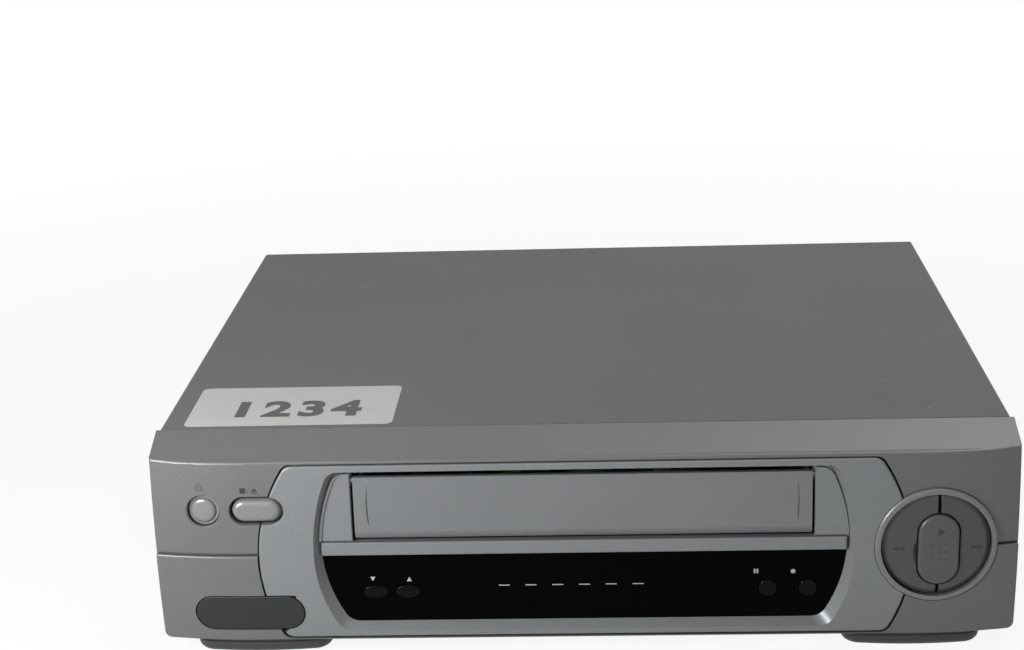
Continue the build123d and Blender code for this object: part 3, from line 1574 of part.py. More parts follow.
# Side brackets that guide the carriage, mirrored about the middle
def side_plate(inner, y0, y1, z0, z1):
    """Sheet-metal plate on the right-hand side, its inner face at a given X."""
    return lying_box(inner, inner + holder_sheet, y0, y1, z0, z1)


def mirrored(part):
    """A right-hand piece turned into its left-hand twin."""
    with BuildPart() as twin:
        add(part)
        mirror(about=Plane.YZ, mode=Mode.REPLACE)
    return twin.part


peg_slot = carriage_peg_radius + fit_gap / 2
peg_first = min(carriage_peg_y)
peg_last = max(carriage_peg_y) + slide_travel
with BuildPart() as right_bracket:
    add(side_plate(bracket_half, bracket_front, bracket_back, deck_top, bracket_top))
    add(
        lying_box(
            bracket_half,
            bracket_half + bracket_foot,
            bracket_front + 4 * deck_screw_radius,
            bracket_back,
            deck_top,
            deck_top + holder_sheet,
        )
    )
    with BuildSketch(Plane.YZ.offset(bracket_half)):
        with Locations(((peg_first + peg_last) / 2, carriage_peg_z)):
            SlotCenterToCenter(peg_last - peg_first, 2 * peg_slot)
        with Locations(((bracket_front + bracket_back) / 2, (deck_top + carriage_peg_z) / 2)):
            Rectangle((bracket_back - bracket_front) / 2, (carriage_peg_z - deck_top) / 2)
    extrude(amount=holder_sheet, mode=Mode.SUBTRACT)
save(right_bracket.part + mirrored(right_bracket.part), "side_brackets")

# Carriage that slides back, with upright slots for the holder's pegs
carriage_back = carriage_front + carriage_length
lower_slot = holder_peg_radius + fit_gap / 2
with BuildPart() as carriage_side:
    add(side_plate(carriage_half, carriage_front, carriage_back, carriage_bottom, carriage_top))
    with BuildSketch(Plane.YZ.offset(carriage_half + holder_sheet)):
        with Locations(*[(y, carriage_peg_z) for y in carriage_peg_y]):
            Circle(carriage_peg_radius)
    extrude(amount=bracket_half - carriage_half)
    with BuildSketch(Plane.YZ.offset(carriage_half)):
        with Locations(*[(y, holder_peg_z - lower_travel / 2) for y in holder_peg_y]):
            SlotCenterToCenter(lower_travel, 2 * lower_slot, rotation=90)
    extrude(amount=holder_sheet, mode=Mode.SUBTRACT)

with BuildPart() as loading_carriage:
    add(carriage_side.part)
    add(mirrored(carriage_side.part))
    add(
        lying_box(
            -carriage_half - holder_sheet,
            carriage_half + holder_sheet,
            bridge_y - bridge_depth / 2,
            bridge_y + bridge_depth / 2,
            carriage_top - holder_sheet,
            carriage_top,
        )
    )
save(loading_carriage.part, "loading_carriage")

# Cassette holder: a sheet-metal tray with ledges for the cassette and an open front
holder_back = holder_front + holder_length
holder_outer = holder_inner_half + holder_sheet
with BuildPart() as cassette_holder:
    with BuildSketch(Plane.XY.offset(holder_top - holder_sheet)):
        with Locations((0, (holder_front + holder_back) / 2)):
            Rectangle(2 * holder_outer, holder_length)
            Rectangle(
                2 * (holder_outer - holder_rim),
                holder_length - 2 * holder_rim,
                mode=Mode.SUBTRACT,
            )
    extrude(amount=holder_sheet)
    for side in (-1, 1):
        inner = side * holder_inner_half
        outer = side * holder_outer
        ledge = side * (holder_inner_half - holder_ledge)
        wall = (min(inner, outer), max(inner, outer))
        shelf = (min(ledge, outer), max(ledge, outer))
        add(lying_box(*wall, holder_front, holder_back, holder_bottom, holder_top))
        add(lying_box(*shelf, holder_front, holder_back, holder_bottom, holder_bottom + holder_sheet))
        with BuildSketch(Plane.YZ.offset(outer)):
            with Locations(*[(y, holder_peg_z) for y in holder_peg_y]):
                Circle(holder_peg_radius)
        extrude(amount=side * (carriage_half + holder_sheet - holder_outer))
    add(
        lying_box(
            -holder_outer,
            holder_outer,
            holder_back - holder_sheet,
            holder_back,
            holder_top - holder_bar,
            holder_top,
        )
    )
save(cassette_holder.part, "cassette_holder")
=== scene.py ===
"""Looks of a silver front-loading video cassette recorder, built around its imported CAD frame."""
import json
import math

import bmesh
import bpy
from mathutils import Matrix, Vector
from mathutils.bvhtree import BVHTree


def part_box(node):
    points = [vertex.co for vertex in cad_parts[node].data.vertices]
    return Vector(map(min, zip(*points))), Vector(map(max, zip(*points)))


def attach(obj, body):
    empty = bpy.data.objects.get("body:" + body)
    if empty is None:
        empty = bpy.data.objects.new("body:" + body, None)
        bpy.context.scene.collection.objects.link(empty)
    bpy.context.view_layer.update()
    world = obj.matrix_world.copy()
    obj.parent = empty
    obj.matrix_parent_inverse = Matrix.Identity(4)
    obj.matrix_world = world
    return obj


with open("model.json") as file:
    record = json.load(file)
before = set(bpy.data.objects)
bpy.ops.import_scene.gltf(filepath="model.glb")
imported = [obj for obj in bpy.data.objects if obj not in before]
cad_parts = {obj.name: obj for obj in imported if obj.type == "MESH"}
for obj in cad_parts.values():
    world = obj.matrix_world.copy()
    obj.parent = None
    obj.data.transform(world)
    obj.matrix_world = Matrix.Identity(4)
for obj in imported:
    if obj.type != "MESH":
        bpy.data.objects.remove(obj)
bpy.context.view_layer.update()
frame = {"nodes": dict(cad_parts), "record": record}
nodes = frame["nodes"]
MM = 0.001

# How far away a ray starts that looks for a surface, and how near the camera sees, in metres
RAY_START = 0.5
NEAREST_VIEW = 0.01

# The camera, worked out from the photograph, in millimetres and radians
CORNER_Y = -151.86
CAMERA_PLACE = (14.58, -769.74 + CORNER_Y, 386.35)
CAMERA_YAW = -0.05316
CAMERA_PITCH = 0.30235
CAMERA_ROLL = -0.03421
FOCAL_PIXELS = 2000.0
IMAGE_WIDTH = 1024
SENSOR = 36.0

# Printed marks, in millimetres on the face
POWER_MARK = (-159.0, 78.3)
STOP_MARK = (-140.6, 77.0)
SLASH_MARK = (-138.2, 77.0)
EJECT_MARK = (-135.8, 77.0)
PROGRAM_MARKS = ((-88.8, 34.7, "down"), (-73.4, 34.4, "up"))
PAUSE_MARK = (72.1, 36.3)
RECORD_MARK = (87.5, 36.0)
FIRST_LAMP_MARK = (-33.4, 31.0)
LAMP_MARK_STEP = 11.25
LAMP_MARK_COUNT = 6
REWIND_MARK = (130.2, 47.4)
FORWARD_MARK = (162.6, 47.3)
PLAY_MARK = (147.7, 55.0)
MARK_LIFT = 0.04

# Sizes of the marks in millimetres, and where the power ring starts and ends in degrees
POWER_RING = (1.15, 1.45)
POWER_ARC = (35, 325)
POWER_BAR = (0.3, 1.7)
POWER_BAR_RISE = 1.0
STOP_SIZE = 2.4
SLASH_LEAN, SLASH_WIDTH, SLASH_RISE = 0.5, 0.18, 1.4
EJECT_ARROW = (2.8, 1.7)
EJECT_ARROW_RISE = 0.4
EJECT_BAR = (2.8, 0.45)
EJECT_BAR_DROP = 1.05
PROGRAM_ARROW = (2.2, 2.0)
PAUSE_BAR = (0.7, 2.0)
PAUSE_SPREAD = 0.6
RECORD_RADIUS = 1.0
LAMP_DASH = (4.6, 0.45)
WIND_ARROW = (2.4, 2.0)
WIND_SPREAD = 1.2
PLAY_ARROW = (2.9, 2.8)

# The number label on the cover and its digits, in millimetres
LABEL_X = (-169.3, -80.0)
LABEL_Y = (CORNER_Y + 22.9, CORNER_Y + 71.8)
LABEL_CORNER = 3.0
LABEL_THICKNESS = 0.12
LABEL_DIGITS = "1234"
DIGITS_X = (-149.2, -94.9)
DIGITS_Y = (CORNER_Y + 33.1, CORNER_Y + 53.5)
LABEL_GAP = 0.005

# Boldness and letter spacing of the digits, in units of the font
DIGIT_WEIGHT = 0.045
DIGIT_SPACING = 1.25

# Small scuffs on the cover: middle and length in millimetres, heading in degrees,
# and their outline as shares of the length and width
SCUFFS = (
    (133.3, CORNER_Y + 68.6, 5.0, 20),
    (147.2, CORNER_Y + 31.6, 3.5, -35),
    (-115.0, CORNER_Y + 231.3, 6.0, 10),
)
SCUFF_SHAPE = ((-0.5, 0.0), (-0.2, 0.5), (0.1, 0.3), (0.5, 0.1), (0.2, -0.5), (-0.15, -0.3))
SCUFF_WIDTH = 0.5

# The stage, in metres and watts: the floor, the light from all round, and the lamps with
# their place, target, size and power
FLOOR_REACH = 12.0
FLOOR_FADE = 0.9
FLOOR_GLOW = 0.9
FLOOR_SPREAD = 0.6
FLOOR_TONES = (0.88, 0.90)
AMBIENT = 0.07
AMBIENT_COLOUR = (0.95, 0.97, 1.0, 1)
LAMPS = (
    ("key", (-0.38, -0.46, 0.26), (-0.06, -0.15, 0.06), (0.14, 0.14), 2.8),
    ("top", (0.45, 0.25, 1.30), (0.05, 0.0, 0.09), (0.7, 0.7), 6.2),
    ("front", (0.10, -1.60, 1.10), (0.0, -0.15, 0.05), (0.8, 0.4), 0.6),
)

# Rings of the rear sockets, in millimetres, with a colour for each socket mount in turn
RING_COLOURS = {
    "yellow": (0.75, 0.50, 0.03),
    "white": (0.75, 0.75, 0.72),
    "red": (0.55, 0.03, 0.02),
    "black": (0.02, 0.02, 0.02),
}
RING_INNER, RING_OUTER = 4.35, 5.7
RING_THICKNESS = 0.25
RING_ROUGHNESS = 0.35
RING_STEPS = 40

# Textures: features a metre, and the part of their range over which a colour changes
FLAKE_SCALE = 2600
CLOUD_SCALE = 14
INK_SCALE = 3000
FIBRE_SCALE = 900
STAIN_SCALE = 30
FLOOR_SCALE = 3
NOISE_LOW, NOISE_HIGH = 0.3, 0.7
CLOUD_RANGE = (0.25, 0.75)
STAIN_HIGH = 0.65

# Shares of a colour where it is darkest and palest, and where it is darkest alone
CAST_SHARES = (0.9, 1.1)
STREAK_SHARES = (0.88, 1.08)
INK_SHARES = (0.85, 1.1)
MOTTLE = 0.95
STAIN = 0.93
# Painted shade: the label is white paper, given a grey here to stand in for the dim light on the top
SHADED_PAPER_TONES = ((0.52, 0.52, 0.515), (0.58, 0.58, 0.575))

# How rough a surface is, how far that swings to either side, and the paint's mirror share
FLOOR_ROUGHNESS = 0.9
PAPER_ROUGHNESS = 0.55
SCUFF_ROUGHNESS = 0.6
PAINT_SWING = 0.03
CAST_SWING = 0.04
STREAK_SWING = 0.05
PAINT_SPECULAR = 0.25

# Bump heights, in metres
METAL_GRAIN = 0.000005
PAPER_GRAIN = 0.00001


def new_material(name):
    """An empty node material with a Principled shader."""
    material = bpy.data.materials.new(name)
    material.use_nodes = True
    tree = material.node_tree
    tree.nodes.clear()
    output = tree.nodes.new("ShaderNodeOutputMaterial")
    shader = tree.nodes.new("ShaderNodeBsdfPrincipled")
    tree.links.new(shader.outputs["BSDF"], output.inputs["Surface"])
    return material, tree, shader


def place_texture(tree, kind, stretch=(1, 1, 1)):
    """A texture in the object's own space."""
    coords = tree.nodes.new("ShaderNodeTexCoord")
    mapping = tree.nodes.new("ShaderNodeMapping")
    mapping.inputs["Scale"].default_value = stretch
    texture = tree.nodes.new(kind)
    tree.links.new(coords.outputs["Object"], mapping.inputs["Vector"])
    tree.links.new(mapping.outputs["Vector"], texture.inputs["Vector"])
    return texture


def place_noise(tree, scale, detail, stretch=(1, 1, 1)):
    """Noise with so many features a metre."""
    noise = place_texture(tree, "ShaderNodeTexNoise", stretch)
    noise.inputs["Scale"].default_value = scale
    noise.inputs["Detail"].default_value = detail
    return noise


def ramp(tree, source, first, last, low=NOISE_LOW, high=NOISE_HIGH):
    """Turns a value between two stops into a colour or grey."""
    node = tree.nodes.new("ShaderNodeValToRGB")
    node.color_ramp.elements[0].position = low
    node.color_ramp.elements[1].position = high
    node.color_ramp.elements[0].color = (*first, 1)
    node.color_ramp.elements[1].color = (*last, 1)
    tree.links.new(source, node.inputs["Fac"])
    return node.outputs["Color"]


def grey(value):
    """A grey as a colour."""
    return (value, value, value)


def tones(colour, shares):
    """A colour at its darkest and at its palest."""
    return [tuple(min(1.0, channel * share) for channel in colour) for share in shares]


def multiply_colours(tree, first, second):
    """Product of two colour outputs."""
    mix = tree.nodes.new("ShaderNodeMix")
    mix.data_type = "RGBA"
    mix.blend_type = "MULTIPLY"
    mix.inputs["Factor"].default_value = 1.0
    tree.links.new(first, mix.inputs["A"])
    tree.links.new(second, mix.inputs["B"])
    return mix.outputs["Result"]


def add_bump(tree, shader, source, distance):
    """Raises the surface by a texture."""
    bump = tree.nodes.new("ShaderNodeBump")
    bump.inputs["Distance"].default_value = distance
    bump.inputs["Strength"].default_value = 1.0
    tree.links.new(source, bump.inputs["Height"])
    tree.links.new(bump.outputs["Normal"], shader.inputs["Normal"])


def vary_roughness(tree, shader, noise, middle, swing, low=NOISE_LOW, high=NOISE_HIGH):
    """Lets the roughness follow a noise, by a swing to either side."""
    rough = ramp(tree, noise.outputs["Fac"], grey(middle - swing), grey(middle + swing), low, high)
    tree.links.new(rough, shader.inputs["Roughness"])


def painted(name, colour, metallic, roughness, flake=0.10, grain=0.000004):
    """Metallic paint: fine flake, slow mottling and a faint orange-peel surface."""
    material, tree, shader = new_material(name)
    flakes = place_noise(tree, FLAKE_SCALE, 1.0)
    clouds = place_noise(tree, CLOUD_SCALE, 3.0)
    fine = ramp(tree, flakes.outputs["Fac"], *tones(colour, (1 - flake, 1 + flake)))
    slow = ramp(tree, clouds.outputs["Fac"], grey(MOTTLE), grey(1.0))
    tree.links.new(multiply_colours(tree, fine, slow), shader.inputs["Base Color"])
    shader.inputs["Metallic"].default_value = metallic
    shader.inputs["Specular IOR Level"].default_value = PAINT_SPECULAR
    vary_roughness(tree, shader, clouds, roughness, PAINT_SWING, *CLOUD_RANGE)
    add_bump(tree, shader, flakes.outputs["Fac"], grain)
    return material


def moulded(name, colour, roughness, grain=0.00002, scale=1500, specular=0.5):
    """Moulded plastic or rubber with a fine cast texture."""
    material, tree, shader = new_material(name)
    noise = place_noise(tree, scale, 2.0)
    tone = ramp(tree, noise.outputs["Fac"], *tones(colour, CAST_SHARES))
    tree.links.new(tone, shader.inputs["Base Color"])
    vary_roughness(tree, shader, noise, roughness, CAST_SWING)
    shader.inputs["Specular IOR Level"].default_value = specular
    add_bump(tree, shader, noise.outputs["Fac"], grain)
    return material


def metal(name, colour, roughness, stretch=(1, 1, 1), scale=900):
    """Bare or plated metal with brushed streaks along one direction."""
    material, tree, shader = new_material(name)
    streaks = place_noise(tree, scale, 3.0, stretch)
    tone = ramp(tree, streaks.outputs["Fac"], *tones(colour, STREAK_SHARES))
    tree.links.new(tone, shader.inputs["Base Color"])
    vary_roughness(tree, shader, streaks, roughness, STREAK_SWING)
    shader.inputs["Metallic"].default_value = 1.0
    add_bump(tree, shader, streaks.outputs["Fac"], METAL_GRAIN)
    return material


def ink(name, colour, roughness=0.5):
    """Printed ink, a little uneven."""
    material, tree, shader = new_material(name)
    noise = place_noise(tree, INK_SCALE, 1.0)
    tone = ramp(tree, noise.outputs["Fac"], *tones(colour, INK_SHARES))
    tree.links.new(tone, shader.inputs["Base Color"])
    shader.inputs["Roughness"].default_value = roughness
    return material


# Colours, as linear values
SHELL = (0.150, 0.154, 0.155)
PANEL = (0.212, 0.224, 0.228)
# Painted shade: the cover wears the same silver paint as the front, given darker and warmer here to
# stand in for the dim, warm light on the top
SHADED_COVER = (0.128, 0.124, 0.123)
PALETTE = {
    "silver_shell": painted("silver_shell", SHELL, 0.35, 0.40),
    "silver_panel": painted("silver_panel", PANEL, 0.35, 0.38),
    "silver_trim": painted("silver_trim", PANEL, 0.35, 0.36),
    "silver_door": painted("silver_door", (0.192, 0.202, 0.206), 0.35, 0.38),
    "window_black": moulded("window_black", (0.001, 0.001, 0.001), 0.10, 0.0, 400, 0.02),
    "silver_key": painted("silver_key", (0.22, 0.225, 0.222), 0.35, 0.30),
    "dial_silver": painted("dial_silver", (0.20, 0.207, 0.208), 0.4, 0.32),
    "dial_dark": painted("dial_dark", (0.088, 0.091, 0.090), 0.3, 0.36),
    "play_silver": painted("play_silver", (0.105, 0.11, 0.112), 0.35, 0.32),
    "black_key": moulded("black_key", (0.002, 0.002, 0.002), 0.15, 0.0, 400, 0.08),
    "flap_grey": painted("flap_grey", (0.028, 0.030, 0.029), 0.2, 0.45),
    "cover_paint": painted("cover_paint", SHADED_COVER, 0.05, 0.55, 0.06, 0.00001),
    "tray_steel": metal("tray_steel", (0.42, 0.43, 0.43), 0.42, (1, 12, 1), 300),
    "foot_grey": moulded("foot_grey", (0.028, 0.030, 0.028), 0.55),
    "rubber_black": moulded("rubber_black", (0.02, 0.02, 0.02), 0.8),
    "screw_steel": metal("screw_steel", (0.25, 0.25, 0.26), 0.35),
    "board_green": moulded("board_green", (0.20, 0.16, 0.06), 0.5),
    "switch_black": moulded("switch_black", (0.02, 0.02, 0.02), 0.45),
    "lamp_clear": moulded("lamp_clear", (0.35, 0.05, 0.04), 0.15, 0.0, 400),
    "core_iron": moulded("core_iron", (0.10, 0.10, 0.11), 0.5),
    "can_black": moulded("can_black", (0.02, 0.025, 0.06), 0.3, 0.0, 400),
    "plated_steel": metal("plated_steel", (0.55, 0.55, 0.52), 0.35, (1, 10, 1), 300),
    "drum_alloy": metal("drum_alloy", (0.72, 0.72, 0.73), 0.22, (1, 1, 8), 900),
    "rotor_steel": metal("rotor_steel", (0.45, 0.45, 0.47), 0.30),
    "bearing_brass": metal("bearing_brass", (0.55, 0.38, 0.14), 0.30),
    "white_plastic": moulded("white_plastic", (0.62, 0.60, 0.53), 0.45),
}


def dress_frame():
    """Gives every CAD node the material of its slot."""
    for part in frame["record"]["subparts"]:
        node = nodes[part["node"]]
        node.data.materials.clear()
        node.data.materials.append(PALETTE[part["material_slot"]])


def link(name, mesh, material, body):
    """Puts a finished mesh into the scene on one CAD body."""
    piece = bpy.data.objects.new(name, mesh)
    bpy.context.scene.collection.objects.link(piece)
    piece.data.materials.clear()
    piece.data.materials.append(material)
    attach(piece, body)


def project(mesh, target, direction, lift):
    """Moves each vertex along a direction onto a CAD node, then lifts it off by a hair."""
    tree = BVHTree.FromObject(nodes[target], bpy.context.evaluated_depsgraph_get())
    for vertex in mesh.vertices:
        place = tree.ray_cast(vertex.co - direction * RAY_START, direction)[0]
        if place is not None:
            vertex.co = place - direction * lift


def finish_mesh(name, work):
    """Turns the working mesh into a stored one."""
    mesh = bpy.data.meshes.new(name)
    work.to_mesh(mesh)
    work.free()
    return mesh


def flat_mesh(name, outlines):
    """Flat faces from closed outlines in millimetres."""
    work = bmesh.new()
    for outline in outlines:
        work.faces.new([work.verts.new((x * MM, 0, z * MM)) for x, z in outline])
    bmesh.ops.triangulate(work, faces=work.faces[:])
    return finish_mesh(name, work)


def mark(name, outlines, target, body, colour):
    """A printed mark that lies on a CAD node of the front."""
    mesh = flat_mesh(name, outlines)
    project(mesh, target, Vector((0, 1, 0)), MARK_LIFT * MM)
    link(name, mesh, colour, body)


def ring_strip(x, z, inner, outer, start, end, steps=28):
    """Quads that make up part of a ring, angles in degrees from straight up."""
    quads = []
    for step in range(steps):
        first = math.radians(start + (end - start) * step / steps)
        second = math.radians(start + (end - start) * (step + 1) / steps)
        quads.append([
            (x + inner * math.sin(first), z + inner * math.cos(first)),
            (x + outer * math.sin(first), z + outer * math.cos(first)),
            (x + outer * math.sin(second), z + outer * math.cos(second)),
            (x + inner * math.sin(second), z + inner * math.cos(second)),
        ])
    return quads


def box_outline(x, z, size):
    """Corners of a rectangle of a width and height."""
    left, right = x - size[0] / 2, x + size[0] / 2
    low, high = z - size[1] / 2, z + size[1] / 2
    return [(left, low), (right, low), (right, high), (left, high)]


def triangle(x, z, size, heading):
    """Triangle that points right, left, up or down."""
    w, h = size
    shapes = {
        "right": [(-w / 2, -h / 2), (w / 2, 0), (-w / 2, h / 2)],
        "left": [(w / 2, h / 2), (-w / 2, 0), (w / 2, -h / 2)],
        "up": [(-w / 2, -h / 2), (w / 2, -h / 2), (0, h / 2)],
        "down": [(-w / 2, h / 2), (0, -h / 2), (w / 2, h / 2)],
    }
    return [(x + dx, z + dz) for dx, dz in shapes[heading]]


def mark_casing(name, outlines, colour):
    """A printed mark on the bezel."""
    mark(name, outlines, "front_bezel", "casing", colour)


def mark_window(name, outlines, colour):
    """A printed mark on the display window."""
    mark(name, outlines, "display_window", "casing", colour)


def double_arrow(x, z, heading):
    """Two triangles in a row."""
    return [triangle(x + side * WIND_SPREAD, z, WIND_ARROW, heading) for side in (-1, 1)]


def mark_bezel_keys(dark):
    """Symbols over the power key and the stop and eject key."""
    x, z = POWER_MARK
    ring = ring_strip(x, z, *POWER_RING, *POWER_ARC)
    mark_casing("power_mark", ring + [box_outline(x, z + POWER_BAR_RISE, POWER_BAR)], dark)
    x, z = STOP_MARK
    mark_casing("stop_mark", [box_outline(x, z, (STOP_SIZE, STOP_SIZE))], dark)
    x, z = SLASH_MARK
    low, high = z - SLASH_RISE, z + SLASH_RISE
    left, right = x - SLASH_LEAN, x + SLASH_LEAN
    slash = [(left, low), (left + SLASH_WIDTH, low), (right, high), (right - SLASH_WIDTH, high)]
    mark_casing("slash_mark", [slash], dark)
    x, z = EJECT_MARK
    arrow = triangle(x, z + EJECT_ARROW_RISE, EJECT_ARROW, "up")
    mark_casing("eject_mark", [arrow, box_outline(x, z - EJECT_BAR_DROP, EJECT_BAR)], dark)


def mark_display(pale):
    """Symbols over the small keys, and a dash for each lamp."""
    for index, (x, z, heading) in enumerate(PROGRAM_MARKS):
        mark_window(f"program_mark_{index}", [triangle(x, z, PROGRAM_ARROW, heading)], pale)
    x, z = PAUSE_MARK
    bars = [box_outline(x + side * PAUSE_SPREAD, z, PAUSE_BAR) for side in (-1, 1)]
    mark_window("pause_mark", bars, pale)
    mark_window("record_mark", ring_strip(*RECORD_MARK, 0.0, RECORD_RADIUS, 0, 360), pale)
    x, z = FIRST_LAMP_MARK
    places = [x + LAMP_MARK_STEP * step for step in range(LAMP_MARK_COUNT)]
    mark_window("lamp_marks", [box_outline(place, z, LAMP_DASH) for place in places], pale)


def mark_dial(dark):
    """Symbols on the keys of the dial."""
    rewind = double_arrow(*REWIND_MARK, "left")
    mark("rewind_mark", rewind, "rewind_button", "rewind_key", dark)
    forward = double_arrow(*FORWARD_MARK, "right")
    mark("forward_mark", forward, "forward_button", "forward_key", dark)
    play = triangle(*PLAY_MARK, PLAY_ARROW, "right")
    mark("play_mark", [play], "play_button", "play_key", dark)


def print_marks():
    """The symbols beside the keys."""
    dark = ink("dark_ink", (0.02, 0.02, 0.022))
    mark_bezel_keys(dark)
    mark_display(ink("pale_ink", (0.42, 0.43, 0.43)))
    mark_dial(dark)


def scuff_cover():
    """A few pale scratches in the paint of the cover."""
    scratch = ink("bare_paint", (0.36, 0.35, 0.34), SCUFF_ROUGHNESS)
    for index, (x, y, length, heading) in enumerate(SCUFFS):
        angle = math.radians(heading)
        along = Vector((math.cos(angle), math.sin(angle), 0))
        across = Vector((-along.y, along.x, 0))
        work = bmesh.new()
        corners = []
        for u, v in SCUFF_SHAPE:
            place = Vector((x, y, 0)) + along * (u * length) + across * (v * SCUFF_WIDTH)
            corners.append(work.verts.new((place.x * MM, place.y * MM, 0)))
        work.faces.new(corners)
        mesh = finish_mesh(f"cover_scuff_{index}", work)
        project(mesh, "top_cover", Vector((0, 0, -1)), MARK_LIFT * MM)
        link(mesh.name, mesh, scratch, "casing")


def join_rings(work, first, second):
    """Quads between two closed rows of corners, in step with each other."""
    for step in range(len(first)):
        after = (step + 1) % len(first)
        work.faces.new((first[step], first[after], second[after], second[step]))


def washer(name, x, z, start_y, colour):
    """Moulded ring round a rear socket."""
    profile = (
        (RING_INNER, 0),
        (RING_INNER, RING_THICKNESS),
        (RING_OUTER - RING_THICKNESS, RING_THICKNESS),
        (RING_OUTER, 0),
    )
    work = bmesh.new()
    rings = []
    for radius, y in profile:
        ring = []
        for step in range(RING_STEPS):
            angle = 2 * math.pi * step / RING_STEPS
            across, up = radius * math.cos(angle), radius * math.sin(angle)
            ring.append(work.verts.new(((x + across) * MM, (start_y + y) * MM, (z + up) * MM)))
        rings.append(ring)
    for first, second in zip(rings, rings[1:] + rings[:1]):
        join_rings(work, first, second)
    bmesh.ops.recalc_face_normals(work, faces=work.faces[:])
    link(name, finish_mesh(name, work), colour, "casing")


def colour_sockets():
    """Coloured rings on the rear picture and sound sockets."""
    mounts = {mount["name"]: mount for mount in frame["record"]["mounts"]}
    for index, (colour, value) in enumerate(RING_COLOURS.items()):
        mount = mounts[f"phono_{index + 1}"]
        x, y, z = [metres / MM for metres in mount["pos_m"]]
        collar_face = y - mount["dims"]["length_mm"] / 2 + MARK_LIFT
        material = moulded(f"ring_{colour}", value, RING_ROUGHNESS)
        washer(f"socket_ring_{colour}", x, z, collar_face, material)


def rounded_corners(x, y, corner, steps=8):
    """Corner points of a rounded rectangle between two X and two Y limits."""
    points = []
    centres = [(x[1] - corner, y[1] - corner, 0), (x[0] + corner, y[1] - corner, 90),
               (x[0] + corner, y[0] + corner, 180), (x[1] - corner, y[0] + corner, 270)]
    for cx, cy, start in centres:
        for step in range(steps + 1):
            angle = math.radians(start + 90 * step / steps)
            points.append((cx + corner * math.cos(angle), cy + corner * math.sin(angle)))
    return points


def label_paper():
    """White paper, in a grey that is painted shade for the dim light on the top, with fibres and faint
    stains.
    """
    material, tree, shader = new_material("label_paper")
    fibres = place_noise(tree, FIBRE_SCALE, 5.0)
    stains = place_noise(tree, STAIN_SCALE, 3.0)
    base = ramp(tree, fibres.outputs["Fac"], *SHADED_PAPER_TONES)
    shade = ramp(tree, stains.outputs["Fac"], grey(STAIN), grey(1.0), high=STAIN_HIGH)
    tree.links.new(multiply_colours(tree, base, shade), shader.inputs["Base Color"])
    shader.inputs["Roughness"].default_value = PAPER_ROUGHNESS
    add_bump(tree, shader, fibres.outputs["Fac"], PAPER_GRAIN)
    return material


def add_label(top):
    """The label itself, on the top of the cover."""
    rim = rounded_corners(LABEL_X, LABEL_Y, LABEL_CORNER)
    bottom = top + LABEL_GAP * MM
    work = bmesh.new()
    lower, upper = (
        [work.verts.new((x * MM, y * MM, z)) for x, y in rim]
        for z in (bottom, bottom + LABEL_THICKNESS * MM)
    )
    work.faces.new(lower)
    work.faces.new(upper)
    join_rings(work, lower, upper)
    bmesh.ops.recalc_face_normals(work, faces=work.faces[:])
    link("shop_label", finish_mesh("shop_label", work), label_paper(), "casing")


def add_digits(top):
    """Printed digits, stretched to their place on the label."""
    text = bpy.data.curves.new("label_text", "FONT")
    text.body = LABEL_DIGITS
    text.offset = DIGIT_WEIGHT
    text.space_character = DIGIT_SPACING
    holder = bpy.data.objects.new("label_text", text)
    bpy.context.scene.collection.objects.link(holder)
    bpy.context.view_layer.update()
    mesh = bpy.data.meshes.new_from_object(holder)
    bpy.data.objects.remove(holder)
    low = [min(vertex.co[axis] for vertex in mesh.vertices) for axis in range(2)]
    high = [max(vertex.co[axis] for vertex in mesh.vertices) for axis in range(2)]
    height = top + (LABEL_THICKNESS + MARK_LIFT) * MM
    for vertex in mesh.vertices:
        u = (vertex.co.x - low[0]) / (high[0] - low[0])
        v = (vertex.co.y - low[1]) / (high[1] - low[1])
        x = DIGITS_X[0] + u * (DIGITS_X[1] - DIGITS_X[0])
        y = DIGITS_Y[0] + v * (DIGITS_Y[1] - DIGITS_Y[0])
        vertex.co = Vector((x * MM, y * MM, height))
    link("label_digits", mesh, ink("label_ink", (0.035, 0.033, 0.033)), "casing")


def shop_label():
    """Paper label with plain digits, stuck to the cover."""
    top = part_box("top_cover")[1].z
    add_label(top)
    add_digits(top)


def set_camera():
    """The photograph's camera."""
    forward = Vector((
        math.sin(CAMERA_YAW) * math.cos(CAMERA_PITCH),
        math.cos(CAMERA_YAW) * math.cos(CAMERA_PITCH),
        -math.sin(CAMERA_PITCH),
    ))
    right = forward.cross(Vector((0, 0, 1))).normalized()
    up = right.cross(forward)
    turned = right * math.cos(CAMERA_ROLL) + up * math.sin(CAMERA_ROLL)
    raised = up * math.cos(CAMERA_ROLL) - right * math.sin(CAMERA_ROLL)
    data = bpy.data.cameras.new("camera")
    data.sensor_width = SENSOR
    data.lens = FOCAL_PIXELS / IMAGE_WIDTH * SENSOR
    data.clip_start = NEAREST_VIEW
    camera = bpy.data.objects.new("camera", data)
    axes = Matrix((turned, raised, -forward)).transposed()
    camera.matrix_world = Matrix.Translation(Vector(CAMERA_PLACE) * MM) @ axes.to_4x4()
    bpy.context.scene.collection.objects.link(camera)
    bpy.context.scene.camera = camera


def area_light(name, place, target, size, power):
    """A soft lamp aimed at a point, sizes in metres and power in watts."""
    data = bpy.data.lights.new(name, "AREA")
    data.shape = "RECTANGLE"
    data.size, data.size_y = size
    data.energy = power
    lamp = bpy.data.objects.new(name, data)
    lamp.location = place
    lamp.rotation_euler = (Vector(target) - Vector(place)).to_track_quat("-Z", "Y").to_euler()
    bpy.context.scene.collection.objects.link(lamp)


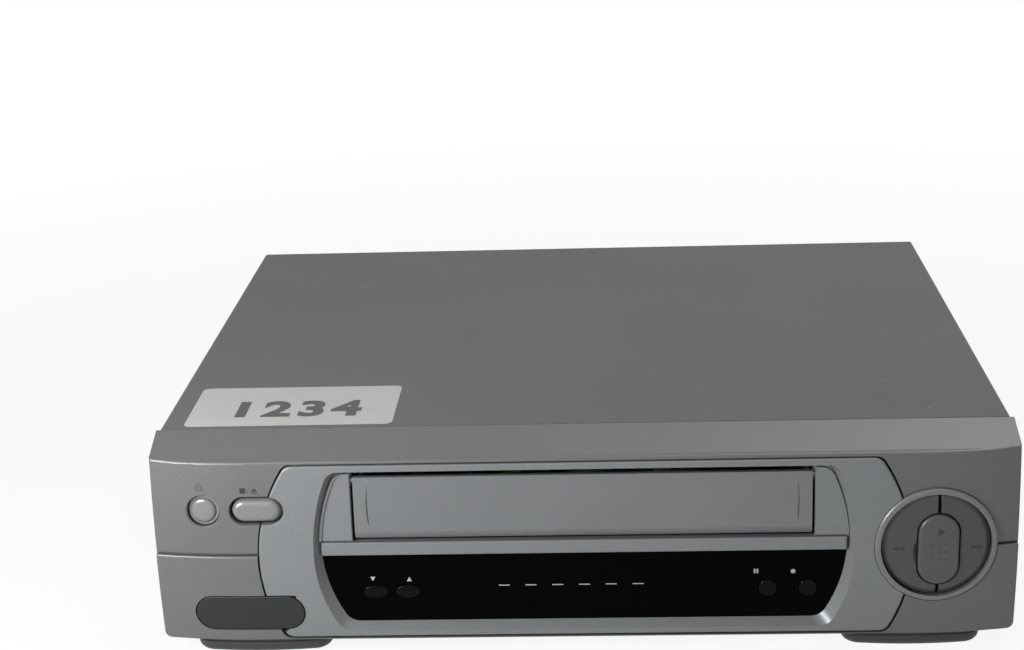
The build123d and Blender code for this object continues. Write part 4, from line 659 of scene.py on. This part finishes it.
def seen_directly(tree):
    """One for camera, glossy and transmitted rays, and zero for the light that falls on the object."""
    path = tree.nodes.new("ShaderNodeLightPath")
    total = path.outputs["Is Camera Ray"]
    for kind in ("Is Glossy Ray", "Is Transmission Ray"):
        larger = tree.nodes.new("ShaderNodeMath")
        larger.operation = "MAXIMUM"
        tree.links.new(total, larger.inputs[0])
        tree.links.new(path.outputs[kind], larger.inputs[1])
        total = larger.outputs[0]
    return total


def mix_white(tree, factor, base, output):
    """White light where the factor is one, and the base shader where it is zero."""
    glow = tree.nodes.new("ShaderNodeEmission")
    glow.inputs["Strength"].default_value = 1.0
    mix = tree.nodes.new("ShaderNodeMixShader")
    tree.links.new(factor, mix.inputs["Fac"])
    tree.links.new(base, mix.inputs[1])
    tree.links.new(glow.outputs[0], mix.inputs[2])
    tree.links.new(mix.outputs[0], output)


def set_floor():
    """Pale floor that keeps the shadow near the object and turns white further out."""
    mesh = bpy.data.meshes.new("floor")
    corners = [(x * FLOOR_REACH, y * FLOOR_REACH, 0) for x, y in ((-1, -1), (1, -1), (1, 1), (-1, 1))]
    mesh.from_pydata(corners, [], [(0, 1, 2, 3)])
    floor = bpy.data.objects.new("floor", mesh)
    bpy.context.scene.collection.objects.link(floor)
    material, tree, shader = new_material("floor_white")
    noise = place_noise(tree, FLOOR_SCALE, 2.0)
    tone = ramp(tree, noise.outputs["Fac"], grey(FLOOR_TONES[0]), grey(FLOOR_TONES[1]))
    tree.links.new(tone, shader.inputs["Base Color"])
    shader.inputs["Roughness"].default_value = FLOOR_ROUGHNESS
    rings = place_texture(tree, "ShaderNodeTexGradient", grey(1 / FLOOR_FADE))
    rings.gradient_type = "SPHERICAL"
    spread = ramp(tree, rings.outputs["Fac"], grey(1.0), grey(FLOOR_GLOW), 0.0, FLOOR_SPREAD)
    share = tree.nodes.new("ShaderNodeMath")
    share.operation = "MULTIPLY"
    tree.links.new(seen_directly(tree), share.inputs[0])
    tree.links.new(spread, share.inputs[1])
    output = next(node for node in tree.nodes if node.type == "OUTPUT_MATERIAL")
    mix_white(tree, share.outputs[0], shader.outputs["BSDF"], output.inputs["Surface"])
    floor.data.materials.append(material)


def set_stage():
    """White surroundings, the floor and soft studio lamps."""
    scene = bpy.context.scene
    scene.view_settings.view_transform = "Standard"
    world = bpy.data.worlds.new("studio")
    scene.world = world
    world.use_nodes = True
    tree = world.node_tree
    tree.nodes.clear()
    output = tree.nodes.new("ShaderNodeOutputWorld")
    ambient = tree.nodes.new("ShaderNodeBackground")
    ambient.inputs["Color"].default_value = AMBIENT_COLOUR
    ambient.inputs["Strength"].default_value = AMBIENT
    mix_white(tree, seen_directly(tree), ambient.outputs[0], output.inputs["Surface"])
    set_floor()
    for name, place, target, size, power in LAMPS:
        area_light(name, place, target, size, power)


set_camera()
dress_frame()
print_marks()
scuff_cover()
shop_label()
colour_sockets()
set_stage()
